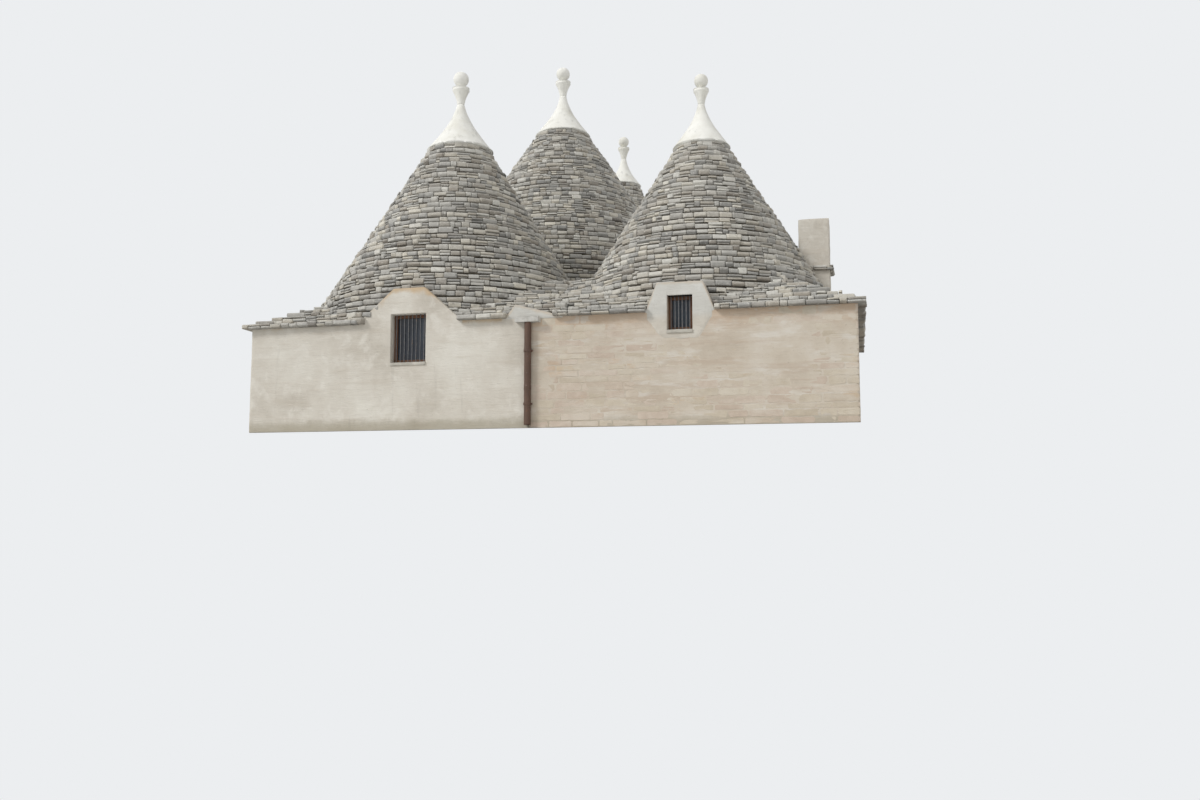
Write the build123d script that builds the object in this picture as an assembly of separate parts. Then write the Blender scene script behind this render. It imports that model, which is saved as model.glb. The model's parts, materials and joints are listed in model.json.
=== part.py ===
"""Trullo house: whitewashed rubble walls under four dry-stone cones with plastered caps and pinnacles.

While it is drawn, the outer face of the front wall lies on y = 0 and the house runs back along +Y.
At export it is moved back by half its depth, so the origin is the middle of the footprint at ground level.
"""
import math
import os
from dataclasses import dataclass, replace

from build123d import *


@dataclass
class Block:
    """Plan rectangle of a walled part of the house, at the outer faces of its walls."""
    left: float
    right: float
    front: float
    back: float


@dataclass
class Trullo:
    """One square room with its cone, inner dome and pinnacle. Rises are measured from the eave."""
    x: float              # axis in plan
    y: float
    room_half: float      # half the side of the room, and radius of its dome at the eave
    foot_wall: float      # thickness of the cone's masonry at the eave
    bulge_radius: float   # outer radius at bulge_rise
    bulge_rise: float
    cap_radius: float     # outer radius where the plastered cap starts
    cap_rise: float
    crown: float          # masonry between the top of the inner dome and the cap
    courses: int          # rings of slabs from the eave to the cap
    finial_scale: float   # size of cap and pinnacle against the first one

    @property
    def foot_radius(self):
        return self.room_half + self.foot_wall

    @property
    def dome_rise(self):
        return self.cap_rise - self.crown


@dataclass
class Gable:
    """Upright plastered panel that lifts the eave over an opening: half widths, height and thickness."""
    centre: float
    top_half: float
    foot_half: float
    height: float
    thickness: float


@dataclass
class Window:
    """Window hole: middle along its wall, width, sill height and head height."""
    centre: float
    width: float
    sill: float
    head: float


# Walls, with their thicknesses
EAVE_Z = 1650
HOUSE_WIDTH = 9400
FRONT_WALL = 1000
LEFT_WALL = 1000
RIGHT_WALL = 1000
FRONT_CROSS_WALL = 900
MIDDLE_LEFT_WALL = 1550
MIDDLE_RIGHT_WALL = 1650
MIDDLE_BACK_WALL = 1200
REAR_CROSS_WALL = 650
REAR_WIDTH = 5400
REAR_LEFT_WALL = 1420
REAR_WALL = 1250
FLOOR_THICKNESS = 60

# Rooms
FRONT_ROOM_HALF = 1500
MIDDLE_ROOM_HALF = 1700
REAR_ROOM_HALF = 1200

# Plan that follows from the walls and the rooms
HOUSE_LEFT = -HOUSE_WIDTH / 2
HOUSE_RIGHT = HOUSE_WIDTH / 2
FRONT_ROOM_Y = FRONT_WALL + FRONT_ROOM_HALF
FRONT_INNER = FRONT_WALL + 2 * FRONT_ROOM_HALF
FRONT_DEPTH = FRONT_INNER + FRONT_CROSS_WALL
MIDDLE_X = HOUSE_LEFT + MIDDLE_LEFT_WALL + MIDDLE_ROOM_HALF
MIDDLE_Y = FRONT_DEPTH + MIDDLE_ROOM_HALF
MIDDLE_INNER = MIDDLE_Y + MIDDLE_ROOM_HALF
MIDDLE_RIGHT = MIDDLE_X + MIDDLE_ROOM_HALF + MIDDLE_RIGHT_WALL
MIDDLE_BACK = MIDDLE_INNER + MIDDLE_BACK_WALL
REAR_LEFT = MIDDLE_RIGHT - REAR_WIDTH
REAR_X = REAR_LEFT + REAR_LEFT_WALL + REAR_ROOM_HALF
REAR_CROSS_BACK = MIDDLE_INNER + REAR_CROSS_WALL
REAR_Y = REAR_CROSS_BACK + REAR_ROOM_HALF
REAR_INNER = REAR_Y + REAR_ROOM_HALF
HOUSE_DEPTH = REAR_INNER + REAR_WALL

# Eaves and the low hipped stonework that fills the corners between the cones
OVERHANG = 140
EAVE_COURSE = 80
FILL_COURSES = 12
FILL_SLOPE = 0.51
FILL_RISE = 1000
FILL_LAP = 1900
LEAST_STONE = 1e6     # volume below which a chip left between two cones is dropped

# Cones
FRONT_LEFT = Trullo(
    x=HOUSE_LEFT + LEFT_WALL + FRONT_ROOM_HALF, y=FRONT_ROOM_Y, room_half=FRONT_ROOM_HALF, foot_wall=1250,
    bulge_radius=1510, bulge_rise=2030, cap_radius=490, cap_rise=3730, crown=580, courses=35,
    finial_scale=1.0)
FRONT_RIGHT = Trullo(
    x=HOUSE_RIGHT - RIGHT_WALL - FRONT_ROOM_HALF, y=FRONT_ROOM_Y, room_half=FRONT_ROOM_HALF, foot_wall=980,
    bulge_radius=1570, bulge_rise=1490, cap_radius=390, cap_rise=3410, crown=560, courses=33,
    finial_scale=0.87)
MIDDLE = Trullo(
    x=MIDDLE_X, y=MIDDLE_Y, room_half=MIDDLE_ROOM_HALF, foot_wall=1650,
    bulge_radius=1245, bulge_rise=4240, cap_radius=480, cap_rise=5370, crown=870, courses=51,
    finial_scale=1.06)
REAR = Trullo(
    x=REAR_X, y=REAR_Y, room_half=REAR_ROOM_HALF, foot_wall=1400,
    bulge_radius=1080, bulge_rise=3700, cap_radius=410, cap_rise=5160, crown=860, courses=50,
    finial_scale=0.93)
DOME_TOP_RADIUS = 180
DOME_BULGE = 1.12

# Plastered cap and pinnacle, for a finial scale of 1
CAP_LIP = 12
CAP_HEIGHT = 710
CAP_HOLLOW_RADIUS = 0.30
CAP_HOLLOW_HEIGHT = 0.53
WAIST_RADIUS = 64
CUP_HEIGHT = 270
CUP_RADIUS = 155
CUP_HOLLOW_RADIUS = 0.38
CUP_HOLLOW_HEIGHT = 0.55
CUP_RIM = 40
RIM_ROUNDING = 0.6
NECK_RADIUS = 48
NECK_HEIGHT = 45
BALL_RADIUS = 138

# Passages between the rooms
PASSAGE_WIDTH = 900
PASSAGE_SPRING = 1050
ARCH_STONES = 9
ARCH_BEARING = 250
FRONT_PASSAGE_X = (FRONT_LEFT.x + MIDDLE.x) / 2
REAR_PASSAGE_X = REAR.x

# Windows, sunk into their walls
FRONT_WINDOW_SHIFT = 200
SMALL_WINDOW_SHIFT = 20
FRONT_WINDOW = Window(centre=FRONT_LEFT.x + FRONT_WINDOW_SHIFT, width=590, sill=1040, head=1800)
SMALL_WINDOW = Window(centre=FRONT_RIGHT.x + SMALL_WINDOW_SHIFT, width=380, sill=1380, head=1890)
REAR_WINDOW = Window(centre=REAR.x, width=590, sill=1040, head=1800)
WINDOW_RECESS = 120
FRAME_WIDTH = 55
FRAME_DEPTH = 60
GLASS_THICKNESS = 6
SILL_THICKNESS = 50
SILL_PROJECTION = 40
LINTEL_HEIGHT = 100
LINTEL_BEARING = 150

# Entrance in the left wall
DOOR_Y = FRONT_LEFT.y
DOOR_WIDTH = 800
DOOR_HEIGHT = 1850
DOOR_RECESS = 150
DOOR_FRAME_WIDTH = 60
DOOR_FRAME_DEPTH = 80
DOOR_LEAF_THICKNESS = 45
DOOR_CLEARANCE = 6
THRESHOLD_RISE = 80
THRESHOLD_PROJECTION = 60

# Gable panels over the openings
WINDOW_GABLE = Gable(centre=FRONT_WINDOW.centre, top_half=250, foot_half=870, height=540, thickness=90)
SMALL_GABLE = Gable(centre=SMALL_WINDOW.centre, top_half=330, foot_half=500, height=420, thickness=270)
DOOR_GABLE = Gable(centre=DOOR_Y, top_half=480, foot_half=760, height=480, thickness=90)
REAR_GABLE = Gable(centre=REAR_WINDOW.centre, top_half=330, foot_half=780, height=480, thickness=150)

# Rainwater pipe under the front valley
PIPE_X = -55
PIPE_RADIUS = 55
PIPE_WALL = 3
PIPE_GAP = 12
PIPE_GROUND_GAP = 40
SPOUT_WIDTH = 370
SPOUT_HEIGHT = 80
SPOUT_PROJECTION = 135
SPOUT_BEARING = 120
SPOUT_TROUGH = 30
SPOUT_RIM = 30
BRACKET_HEIGHTS = (350, 1140)
BRACKET_BAND = 5
BRACKET_TALL = 32
BRACKET_EAR = 18

# Plastered wedge at the foot of the front valley, with its reaches measured from the pipe
WEDGE_LEFT_REACH = 365
WEDGE_PEAK_REACH = 215
WEDGE_RIGHT_REACH = 525
WEDGE_HEIGHT = 200
WEDGE_THICKNESS = 90

# Chimney on the right wall, measured in from the wall's outer face
CHIMNEY_INSET = 650
CHIMNEY_SIDE = 500
CHIMNEY_FLUE = 260
CHIMNEY_RISE = 1850

# Runs of cutting forms past what they cut
CLEAR = 400
HOLE_RUN = 200
ROOF_REACH = 9000

TRULLI = {"front_left": FRONT_LEFT, "front_right": FRONT_RIGHT, "middle": MIDDLE, "rear": REAR}
FRONT_BLOCK = Block(HOUSE_LEFT, HOUSE_RIGHT, 0, FRONT_DEPTH)
MIDDLE_BLOCK = Block(HOUSE_LEFT, MIDDLE_RIGHT, FRONT_DEPTH, MIDDLE_BACK)
REAR_BLOCK = Block(REAR_LEFT, MIDDLE_RIGHT, MIDDLE_BACK, HOUSE_DEPTH)
BLOCKS = (FRONT_BLOCK, MIDDLE_BLOCK, REAR_BLOCK)


def box(x0, x1, y0, y1, z0, z1):
    """Box between two corners."""
    return Pos((x0 + x1) / 2, (y0 + y1) / 2, (z0 + z1) / 2) * Box(x1 - x0, y1 - y0, z1 - z0)


def face_of(outline):
    """Flat face inside a closed outline, given as a list of lines and arcs."""
    return make_face([edge for line in outline for edge in line.edges()])


def turned(outline):
    """Solid of revolution about Z, from a closed outline in radius and height."""
    return revolve(Plane.XZ * face_of(outline), Axis.Z)


def facing_y(outline, y0, y1):
    """Prism between two depths, from a closed outline in x and z."""
    plane = Plane(origin=(0, y0, 0), x_dir=(1, 0, 0), z_dir=(0, -1, 0))
    return extrude(plane * face_of(outline), amount=y0 - y1)


def facing_x(outline, x0, x1):
    """Prism between two positions along the house, from a closed outline in y and z."""
    plane = Plane(origin=(x0, 0, 0), x_dir=(0, 1, 0), z_dir=(1, 0, 0))
    return extrude(plane * face_of(outline), amount=x1 - x0)


def side_radius(trullo, rise):
    """Outer radius of a cone at a rise above the eave, on the arc from its foot over its belly to its cap."""
    arc = ThreePointArc((trullo.foot_radius, 0), (trullo.bulge_radius, trullo.bulge_rise),
                        (trullo.cap_radius, trullo.cap_rise))
    centre = arc.arc_center
    across = math.sqrt(arc.radius ** 2 - (rise - centre.Y) ** 2)
    return centre.X + math.copysign(across, trullo.foot_radius - centre.X)


def cone(trullo):
    """Outer form of one cone, solid: rings of slabs stepped in from the eave up to the foot of its cap."""
    height = trullo.cap_rise / trullo.courses
    outline = [(0, 0)]
    for course in range(trullo.courses):
        radius = side_radius(trullo, (course + 1) * height)
        outline += [(radius, course * height), (radius, (course + 1) * height)]
    outline.append((0, trullo.cap_rise))
    return Pos(trullo.x, trullo.y, EAVE_Z) * turned([Polyline(*outline, close=True)])


def dome(trullo):
    """Space of the corbelled inner dome over a room, with its pointed section."""
    foot = (trullo.room_half, 0)
    top = (DOME_TOP_RADIUS, trullo.dome_rise)
    middle = ((foot[0] + top[0]) / 2 * DOME_BULGE, trullo.dome_rise / 2)
    side = ThreePointArc(foot, middle, top)
    inside = Polyline(top, (0, trullo.dome_rise), (0, 0), foot)
    return Pos(trullo.x, trullo.y, EAVE_Z) * turned([side, inside])


def cap(trullo):
    """Plastered cap: a hollow flare from the top courses up to the pinnacle's waist."""
    scale = trullo.finial_scale
    foot = (trullo.cap_radius + CAP_LIP, 0)
    waist = (WAIST_RADIUS * scale, CAP_HEIGHT * scale)
    hollow = (waist[0] + (foot[0] - waist[0]) * CAP_HOLLOW_RADIUS, waist[1] * CAP_HOLLOW_HEIGHT)
    side = ThreePointArc(foot, hollow, waist)
    inside = Polyline(waist, (0, waist[1]), (0, 0), foot)
    return Pos(trullo.x, trullo.y, EAVE_Z + trullo.cap_rise) * turned([side, inside])


def pinnacle(trullo):
    """Pinnacle: a cup on the waist, a short neck and a ball."""
    scale = trullo.finial_scale
    waist, cup, rim = WAIST_RADIUS * scale, CUP_RADIUS * scale, CUP_RIM * scale
    neck, ball = NECK_RADIUS * scale, BALL_RADIUS * scale
    cup_top = CUP_HEIGHT * scale
    rim_top = cup_top + rim
    neck_top = rim_top + NECK_HEIGHT * scale
    centre = neck_top + math.sqrt(ball ** 2 - neck ** 2)
    hollow = (waist + (cup - waist) * CUP_HOLLOW_RADIUS, cup_top * CUP_HOLLOW_HEIGHT)
    outline = [
        ThreePointArc((waist, 0), hollow, (cup, cup_top)),
        RadiusArc((cup, cup_top), (cup, rim_top), rim * RIM_ROUNDING),
        Polyline((cup, rim_top), (neck, rim_top), (neck, neck_top)),
        ThreePointArc((neck, neck_top), (ball, centre), (0, centre + ball)),
        Polyline((0, centre + ball), (0, 0), (waist, 0)),
    ]
    return Pos(trullo.x, trullo.y, EAVE_Z + trullo.cap_rise + CAP_HEIGHT * scale) * turned(outline)


def under_eaves(block, height, inset=0):
    """Prism over a block, out to the edge of its eaves or drawn in from it."""
    reach = OVERHANG - inset
    return box(block.left - reach, block.right + reach, block.front - reach, block.back + reach,
               EAVE_Z, EAVE_Z + height)


def hipped_fill(block):
    """Low hipped stonework over a block: an eave course, then courses stepped in evenly on all four sides."""
    fill = under_eaves(block, EAVE_COURSE)
    for course in range(FILL_COURSES):
        rise = (course + 1) * FILL_RISE / FILL_COURSES
        fill += under_eaves(block, EAVE_COURSE + rise, rise / FILL_SLOPE)
    return fill


def gable_outline(gable):
    """Outline of a gable panel above the eave."""
    return [Polyline(
        (gable.centre - gable.foot_half, EAVE_Z),
        (gable.centre + gable.foot_half, EAVE_Z),
        (gable.centre + gable.top_half, EAVE_Z + gable.height),
        (gable.centre - gable.top_half, EAVE_Z + gable.height),
        close=True,
    )]


def wedge_outline():
    """Outline of the plastered wedge where the front valley ends."""
    return [Polyline(
        (PIPE_X - WEDGE_LEFT_REACH, EAVE_Z),
        (PIPE_X + WEDGE_RIGHT_REACH, EAVE_Z),
        (PIPE_X - WEDGE_PEAK_REACH, EAVE_Z + WEDGE_HEIGHT),
        close=True,
    )]


def passage_outline(centre):
    """Outline of a passage up to the eave: its own width up to the springing, then the place of its arch."""
    half, bearing = PASSAGE_WIDTH / 2, PASSAGE_WIDTH / 2 + ARCH_BEARING
    return [Polyline((centre - half, 0), (centre + half, 0), (centre + half, PASSAGE_SPRING),
                     (centre + bearing, PASSAGE_SPRING), (centre + bearing, EAVE_Z),
                     (centre - bearing, EAVE_Z), (centre - bearing, PASSAGE_SPRING),
                     (centre - half, PASSAGE_SPRING), close=True)]


def arch_stone_outlines(centre):
    """Outlines of the stones of a round arch: joints that meet in its centre, tops level with the eave."""
    radius, reach, rise = PASSAGE_WIDTH / 2, PASSAGE_WIDTH / 2 + ARCH_BEARING, EAVE_Z - PASSAGE_SPRING
    step = math.pi / ARCH_STONES

    def on_arch(angle):
        return centre + radius * math.cos(angle), PASSAGE_SPRING + radius * math.sin(angle)

    def on_edge(angle):
        run = min(reach / max(abs(math.cos(angle)), 1e-9), rise / max(math.sin(angle), 1e-9))
        return centre + run * math.cos(angle), PASSAGE_SPRING + run * math.sin(angle)

    corner = math.atan2(rise, reach)
    outlines = []
    for stone in range(ARCH_STONES):
        start, end = stone * step, (stone + 1) * step
        outer = [on_edge(angle) for angle in (corner, math.pi - corner) if start < angle < end]
        back = Polyline(on_arch(start), on_edge(start), *outer, on_edge(end), on_arch(end))
        outlines.append([back, ThreePointArc(on_arch(end), on_arch((start + end) / 2), on_arch(start))])
    return outlines


def window_hole(window, y0, y1):
    """Window hole with the bed of its sill, between two depths."""
    half = window.width / 2
    return box(window.centre - half, window.centre + half, y0, y1, window.sill - SILL_THICKNESS, window.head)


def window_lintel(window, y0, y1):
    """Stone lintel bearing on both sides of a window hole."""
    half = window.width / 2 + LINTEL_BEARING
    return box(window.centre - half, window.centre + half, y0, y1, window.head, window.head + LINTEL_HEIGHT)


def window_sill(window, y0, y1):
    """Stone sill slab that fills the foot of a window hole."""
    half = window.width / 2
    return box(window.centre - half, window.centre + half, y0, y1, window.sill - SILL_THICKNESS, window.sill)


def window_frame(window, y0, y1):
    """Wooden frame of a window with one light."""
    half = window.width / 2
    frame = box(window.centre - half, window.centre + half, y0, y1, window.sill, window.head)
    return frame - window_light(window, y0, y1)


def window_light(window, y0, y1):
    """Space inside a window's frame, between two depths."""
    half = window.width / 2 - FRAME_WIDTH
    return box(window.centre - half, window.centre + half, y0, y1,
               window.sill + FRAME_WIDTH, window.head - FRAME_WIDTH)


def window_glass(window, y0, y1):
    """Pane in the middle of a window frame's depth."""
    middle = (y0 + y1) / 2
    return window_light(window, middle - GLASS_THICKNESS / 2, middle + GLASS_THICKNESS / 2)


def through_passages(shape, overrun=0):
    """Prisms of one outline through the three passages: pier wall, front cross wall and rear cross wall."""
    left, right = FRONT_LEFT.x + FRONT_ROOM_HALF, FRONT_RIGHT.x - FRONT_ROOM_HALF
    return {
        "pier": facing_x(shape(FRONT_ROOM_Y), left - overrun, right + overrun),
        "front": facing_y(shape(FRONT_PASSAGE_X), FRONT_INNER - overrun, FRONT_DEPTH + overrun),
        "rear": facing_y(shape(REAR_PASSAGE_X), MIDDLE_INNER - overrun, REAR_CROSS_BACK + overrun),
    }


def make_walls():
    """Walls of the three blocks, bearing on the ground and level at the eave."""
    room_1, room_2, room_3, room_4 = FRONT_LEFT, MIDDLE, FRONT_RIGHT, REAR
    hole = {
        "front": window_hole(FRONT_WINDOW, -CLEAR, FRONT_WALL + CLEAR),
        "small": window_hole(SMALL_WINDOW, -CLEAR, FRONT_WALL + CLEAR),
        "rear": window_hole(REAR_WINDOW, REAR_INNER - CLEAR, HOUSE_DEPTH + CLEAR),
    }
    spout = spout_block()
    room_left = room_1.x - room_1.room_half
    door_front, door_back = DOOR_Y - DOOR_WIDTH / 2, DOOR_Y + DOOR_WIDTH / 2
    room_2_left, room_2_right = room_2.x - room_2.room_half, room_2.x + room_2.room_half
    room_4_left, room_4_right = room_4.x - room_4.room_half, room_4.x + room_4.room_half
    pier_left, pier_right = room_1.x + room_1.room_half, room_3.x - room_3.room_half
    passages = through_passages(passage_outline, CLEAR)

    def wall(x0, x1, y0, y1):
        return box(x0, x1, y0, y1, 0, EAVE_Z)

    return {
        "front_wall_left": wall(HOUSE_LEFT, PIPE_X, 0, FRONT_WALL) - hole["front"] - spout,
        "front_wall_right": wall(PIPE_X, HOUSE_RIGHT, 0, FRONT_WALL) - hole["small"] - spout,
        "left_wall_front": wall(HOUSE_LEFT, room_left, FRONT_WALL, door_front),
        "left_wall_back": wall(HOUSE_LEFT, room_left, door_back, FRONT_DEPTH),
        "right_wall": wall(room_3.x + room_3.room_half, HOUSE_RIGHT, FRONT_WALL, FRONT_INNER),
        "pier_wall": wall(pier_left, pier_right, FRONT_WALL, FRONT_INNER) - passages["pier"],
        "front_cross_wall": wall(room_left, HOUSE_RIGHT, FRONT_INNER, FRONT_DEPTH) - passages["front"],
        "middle_wall_left": wall(HOUSE_LEFT, room_2_left, FRONT_DEPTH, MIDDLE_INNER)
        + wall(HOUSE_LEFT, REAR_LEFT, MIDDLE_INNER, MIDDLE_BACK),
        "middle_wall_right": wall(room_2_right, MIDDLE_RIGHT, FRONT_DEPTH, MIDDLE_INNER),
        "rear_cross_wall": wall(REAR_LEFT, MIDDLE_RIGHT, MIDDLE_INNER, REAR_CROSS_BACK) - passages["rear"],
        "rear_wall_left": wall(REAR_LEFT, room_4_left, REAR_CROSS_BACK, REAR_INNER),
        "rear_wall_right": wall(room_4_right, MIDDLE_RIGHT, REAR_CROSS_BACK, REAR_INNER),
        "rear_wall": wall(REAR_LEFT, MIDDLE_RIGHT, REAR_INNER, HOUSE_DEPTH) - hole["rear"],
    }


def make_arches():
    """Arch stones over the three passages, each arch a piece of its own."""
    stones = {"pier": [], "front": [], "rear": []}
    for number in range(ARCH_STONES):
        for place, stone in through_passages(lambda centre: arch_stone_outlines(centre)[number]).items():
            stones[place].append(stone)
    return {place + "_arch": group for place, group in stones.items()}


def make_floor():
    """Stone paving of the rooms and of the passages between them."""
    half = PASSAGE_WIDTH / 2

    def threshold(centre):
        return [Polyline((centre - half, 0), (centre + half, 0), (centre + half, FLOOR_THICKNESS),
                         (centre - half, FLOOR_THICKNESS), close=True)]

    floor = list(through_passages(threshold).values())
    for trullo in TRULLI.values():
        room = trullo.room_half
        floor.append(box(trullo.x - room, trullo.x + room, trullo.y - room, trullo.y + room,
                         0, FLOOR_THICKNESS))
    return floor


def spout_block():
    """Stone under the valley that gathers its water, before its trough is cut."""
    half = SPOUT_WIDTH / 2
    return box(PIPE_X - half, PIPE_X + half, -SPOUT_PROJECTION, SPOUT_BEARING, EAVE_Z - SPOUT_HEIGHT, EAVE_Z)


def make_rainwater():
    """Spout stone, pipe down the wall and the two brackets that hold it."""
    pipe_y = -PIPE_GAP - PIPE_RADIUS
    bore = PIPE_RADIUS - PIPE_WALL
    half = SPOUT_WIDTH / 2 - SPOUT_RIM
    top = EAVE_Z - SPOUT_HEIGHT
    trough = box(PIPE_X - half, PIPE_X + half, SPOUT_RIM - SPOUT_PROJECTION, 0, EAVE_Z - SPOUT_TROUGH, EAVE_Z)
    outlet = Pos(PIPE_X, pipe_y, EAVE_Z - SPOUT_HEIGHT / 2) * Cylinder(bore, SPOUT_HEIGHT)
    length = top - PIPE_GROUND_GAP
    pipe = Pos(PIPE_X, pipe_y, PIPE_GROUND_GAP + length / 2) * (
        Cylinder(PIPE_RADIUS, length) - Cylinder(bore, length))
    brackets = []
    for height in BRACKET_HEIGHTS:
        band = Pos(PIPE_X, pipe_y, height) * Cylinder(PIPE_RADIUS + BRACKET_BAND, BRACKET_TALL)
        stem = box(PIPE_X - BRACKET_EAR / 2, PIPE_X + BRACKET_EAR / 2, pipe_y, 0,
                   height - BRACKET_TALL / 2, height + BRACKET_TALL / 2)
        ear = box(PIPE_X, PIPE_X + PIPE_RADIUS + BRACKET_BAND + BRACKET_EAR,
                  pipe_y - BRACKET_BAND, pipe_y + BRACKET_BAND,
                  height - BRACKET_TALL / 2, height + BRACKET_TALL / 2)
        hole = Pos(PIPE_X, pipe_y, height) * Cylinder(PIPE_RADIUS, BRACKET_TALL)
        brackets.append(band + stem + ear - hole)
    return {
        "valley_spout": spout_block() - trough - outlet,
        "rainwater_pipe": pipe,
        "pipe_brackets": brackets,
    }


def make_gables():
    """Plastered panels that carry the eave over the openings, and the wedge at the valley."""
    front_hole = window_hole(FRONT_WINDOW, -CLEAR, FRONT_WALL)
    small_hole = window_hole(SMALL_WINDOW, -CLEAR, FRONT_WALL)
    rear_hole = window_hole(REAR_WINDOW, REAR_INNER, HOUSE_DEPTH + CLEAR)
    rear_inner = HOUSE_DEPTH - REAR_GABLE.thickness
    return {
        "window_gable": facing_y(gable_outline(WINDOW_GABLE), 0, WINDOW_GABLE.thickness) - front_hole,
        "small_window_gable": facing_y(gable_outline(SMALL_GABLE), 0, SMALL_GABLE.thickness) - small_hole,
        "rear_window_gable": facing_y(gable_outline(REAR_GABLE), rear_inner, HOUSE_DEPTH) - rear_hole,
        "door_gable": facing_x(gable_outline(DOOR_GABLE), HOUSE_LEFT, HOUSE_LEFT + DOOR_GABLE.thickness)
        - door_hole(0),
        "valley_wedge": facing_y(wedge_outline(), 0, WEDGE_THICKNESS),
    }


def door_hole(inward):
    """Entrance hole through the left wall, running on into the room."""
    return box(HOUSE_LEFT - CLEAR, HOUSE_LEFT + LEFT_WALL + inward,
               DOOR_Y - DOOR_WIDTH / 2, DOOR_Y + DOOR_WIDTH / 2, 0, DOOR_HEIGHT)


def make_lintels():
    """Stone lintels behind the gable panels."""
    door_half = DOOR_WIDTH / 2 + LINTEL_BEARING
    return {
        "window_lintel": window_lintel(FRONT_WINDOW, WINDOW_GABLE.thickness, FRONT_WALL),
        "small_window_lintel": window_lintel(SMALL_WINDOW, SMALL_GABLE.thickness, FRONT_WALL),
        "rear_window_lintel": window_lintel(REAR_WINDOW, REAR_INNER, HOUSE_DEPTH - REAR_GABLE.thickness),
        "door_lintel": box(HOUSE_LEFT + DOOR_GABLE.thickness, HOUSE_LEFT + LEFT_WALL, DOOR_Y - door_half,
                           DOOR_Y + door_half, DOOR_HEIGHT, DOOR_HEIGHT + LINTEL_HEIGHT),
    }


def chimney_column(side):
    """Square column over the chimney's place on the right wall."""
    x, y = HOUSE_RIGHT - CHIMNEY_INSET, FRONT_RIGHT.y
    return box(x - side / 2, x + side / 2, y - side / 2, y + side / 2, EAVE_Z, EAVE_Z + CHIMNEY_RISE)


def make_chimney():
    """Plastered chimney stack with an open flue."""
    return chimney_column(CHIMNEY_SIDE) - chimney_column(CHIMNEY_FLUE)


def make_roof(lintels):
    """Cones and the hipped fill between them, trimmed face to face and cut by what passes through them."""
    outline = sum((under_eaves(block, ROOF_REACH) for block in BLOCKS), Part())
    rear_back = HOUSE_DEPTH + CLEAR
    cuts = [dome(trullo) for trullo in TRULLI.values()]
    cuts += [
        facing_y(gable_outline(WINDOW_GABLE), -CLEAR, WINDOW_GABLE.thickness),
        facing_y(gable_outline(SMALL_GABLE), -CLEAR, SMALL_GABLE.thickness),
        facing_y(gable_outline(REAR_GABLE), HOUSE_DEPTH - REAR_GABLE.thickness, rear_back),
        facing_x(gable_outline(DOOR_GABLE), HOUSE_LEFT - CLEAR, HOUSE_LEFT + DOOR_GABLE.thickness),
        facing_y(wedge_outline(), -CLEAR, WEDGE_THICKNESS),
        window_hole(FRONT_WINDOW, -CLEAR, FRONT_WALL + HOLE_RUN),
        window_hole(SMALL_WINDOW, -CLEAR, FRONT_WALL + HOLE_RUN),
        window_hole(REAR_WINDOW, REAR_INNER - HOLE_RUN, rear_back),
        door_hole(HOLE_RUN),
        chimney_column(CHIMNEY_SIDE),
    ]
    cuts += list(lintels.values())
    middle_fill = replace(MIDDLE_BLOCK, front=MIDDLE_BLOCK.front - FILL_LAP)
    rear_fill = replace(REAR_BLOCK, front=REAR_BLOCK.front - FILL_LAP)
    fills = {
        "front_eave_fill": hipped_fill(FRONT_BLOCK),
        "middle_eave_fill": hipped_fill(middle_fill),
        "rear_eave_fill": hipped_fill(rear_fill),
    }
    roof = {}
    taken = []
    for trullo_name, trullo in TRULLI.items():
        form = cone(trullo)
        roof[trullo_name + "_cone"] = (form & outline) - (taken + cuts)
        taken.append(form)
    for fill_name, form in fills.items():
        trimmed = form - (taken + cuts)
        roof[fill_name] = [solid for solid in trimmed.solids() if solid.volume > LEAST_STONE]
        taken.append(form)
    for trullo_name, trullo in TRULLI.items():
        roof[trullo_name + "_cap"] = cap(trullo)
        roof[trullo_name + "_pinnacle"] = pinnacle(trullo)
    return roof


def make_windows():
    """Sills, frames and glass of the three windows."""
    frame_back = WINDOW_RECESS + FRAME_DEPTH
    rear_frame = (HOUSE_DEPTH - frame_back, HOUSE_DEPTH - WINDOW_RECESS)
    depths = {
        "window": (FRONT_WINDOW, WINDOW_RECESS, frame_back),
        "small_window": (SMALL_WINDOW, WINDOW_RECESS, frame_back),
        "rear_window": (REAR_WINDOW, *rear_frame),
    }
    parts = {name + "_frame": window_frame(*depth) for name, depth in depths.items()}
    parts["window_glass"] = [window_glass(*depth) for depth in depths.values()]
    parts["window_sills"] = [
        window_sill(FRONT_WINDOW, -SILL_PROJECTION, FRONT_WALL),
        window_sill(SMALL_WINDOW, -SILL_PROJECTION, FRONT_WALL),
        window_sill(REAR_WINDOW, REAR_INNER, HOUSE_DEPTH + SILL_PROJECTION),
    ]
    return parts


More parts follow.
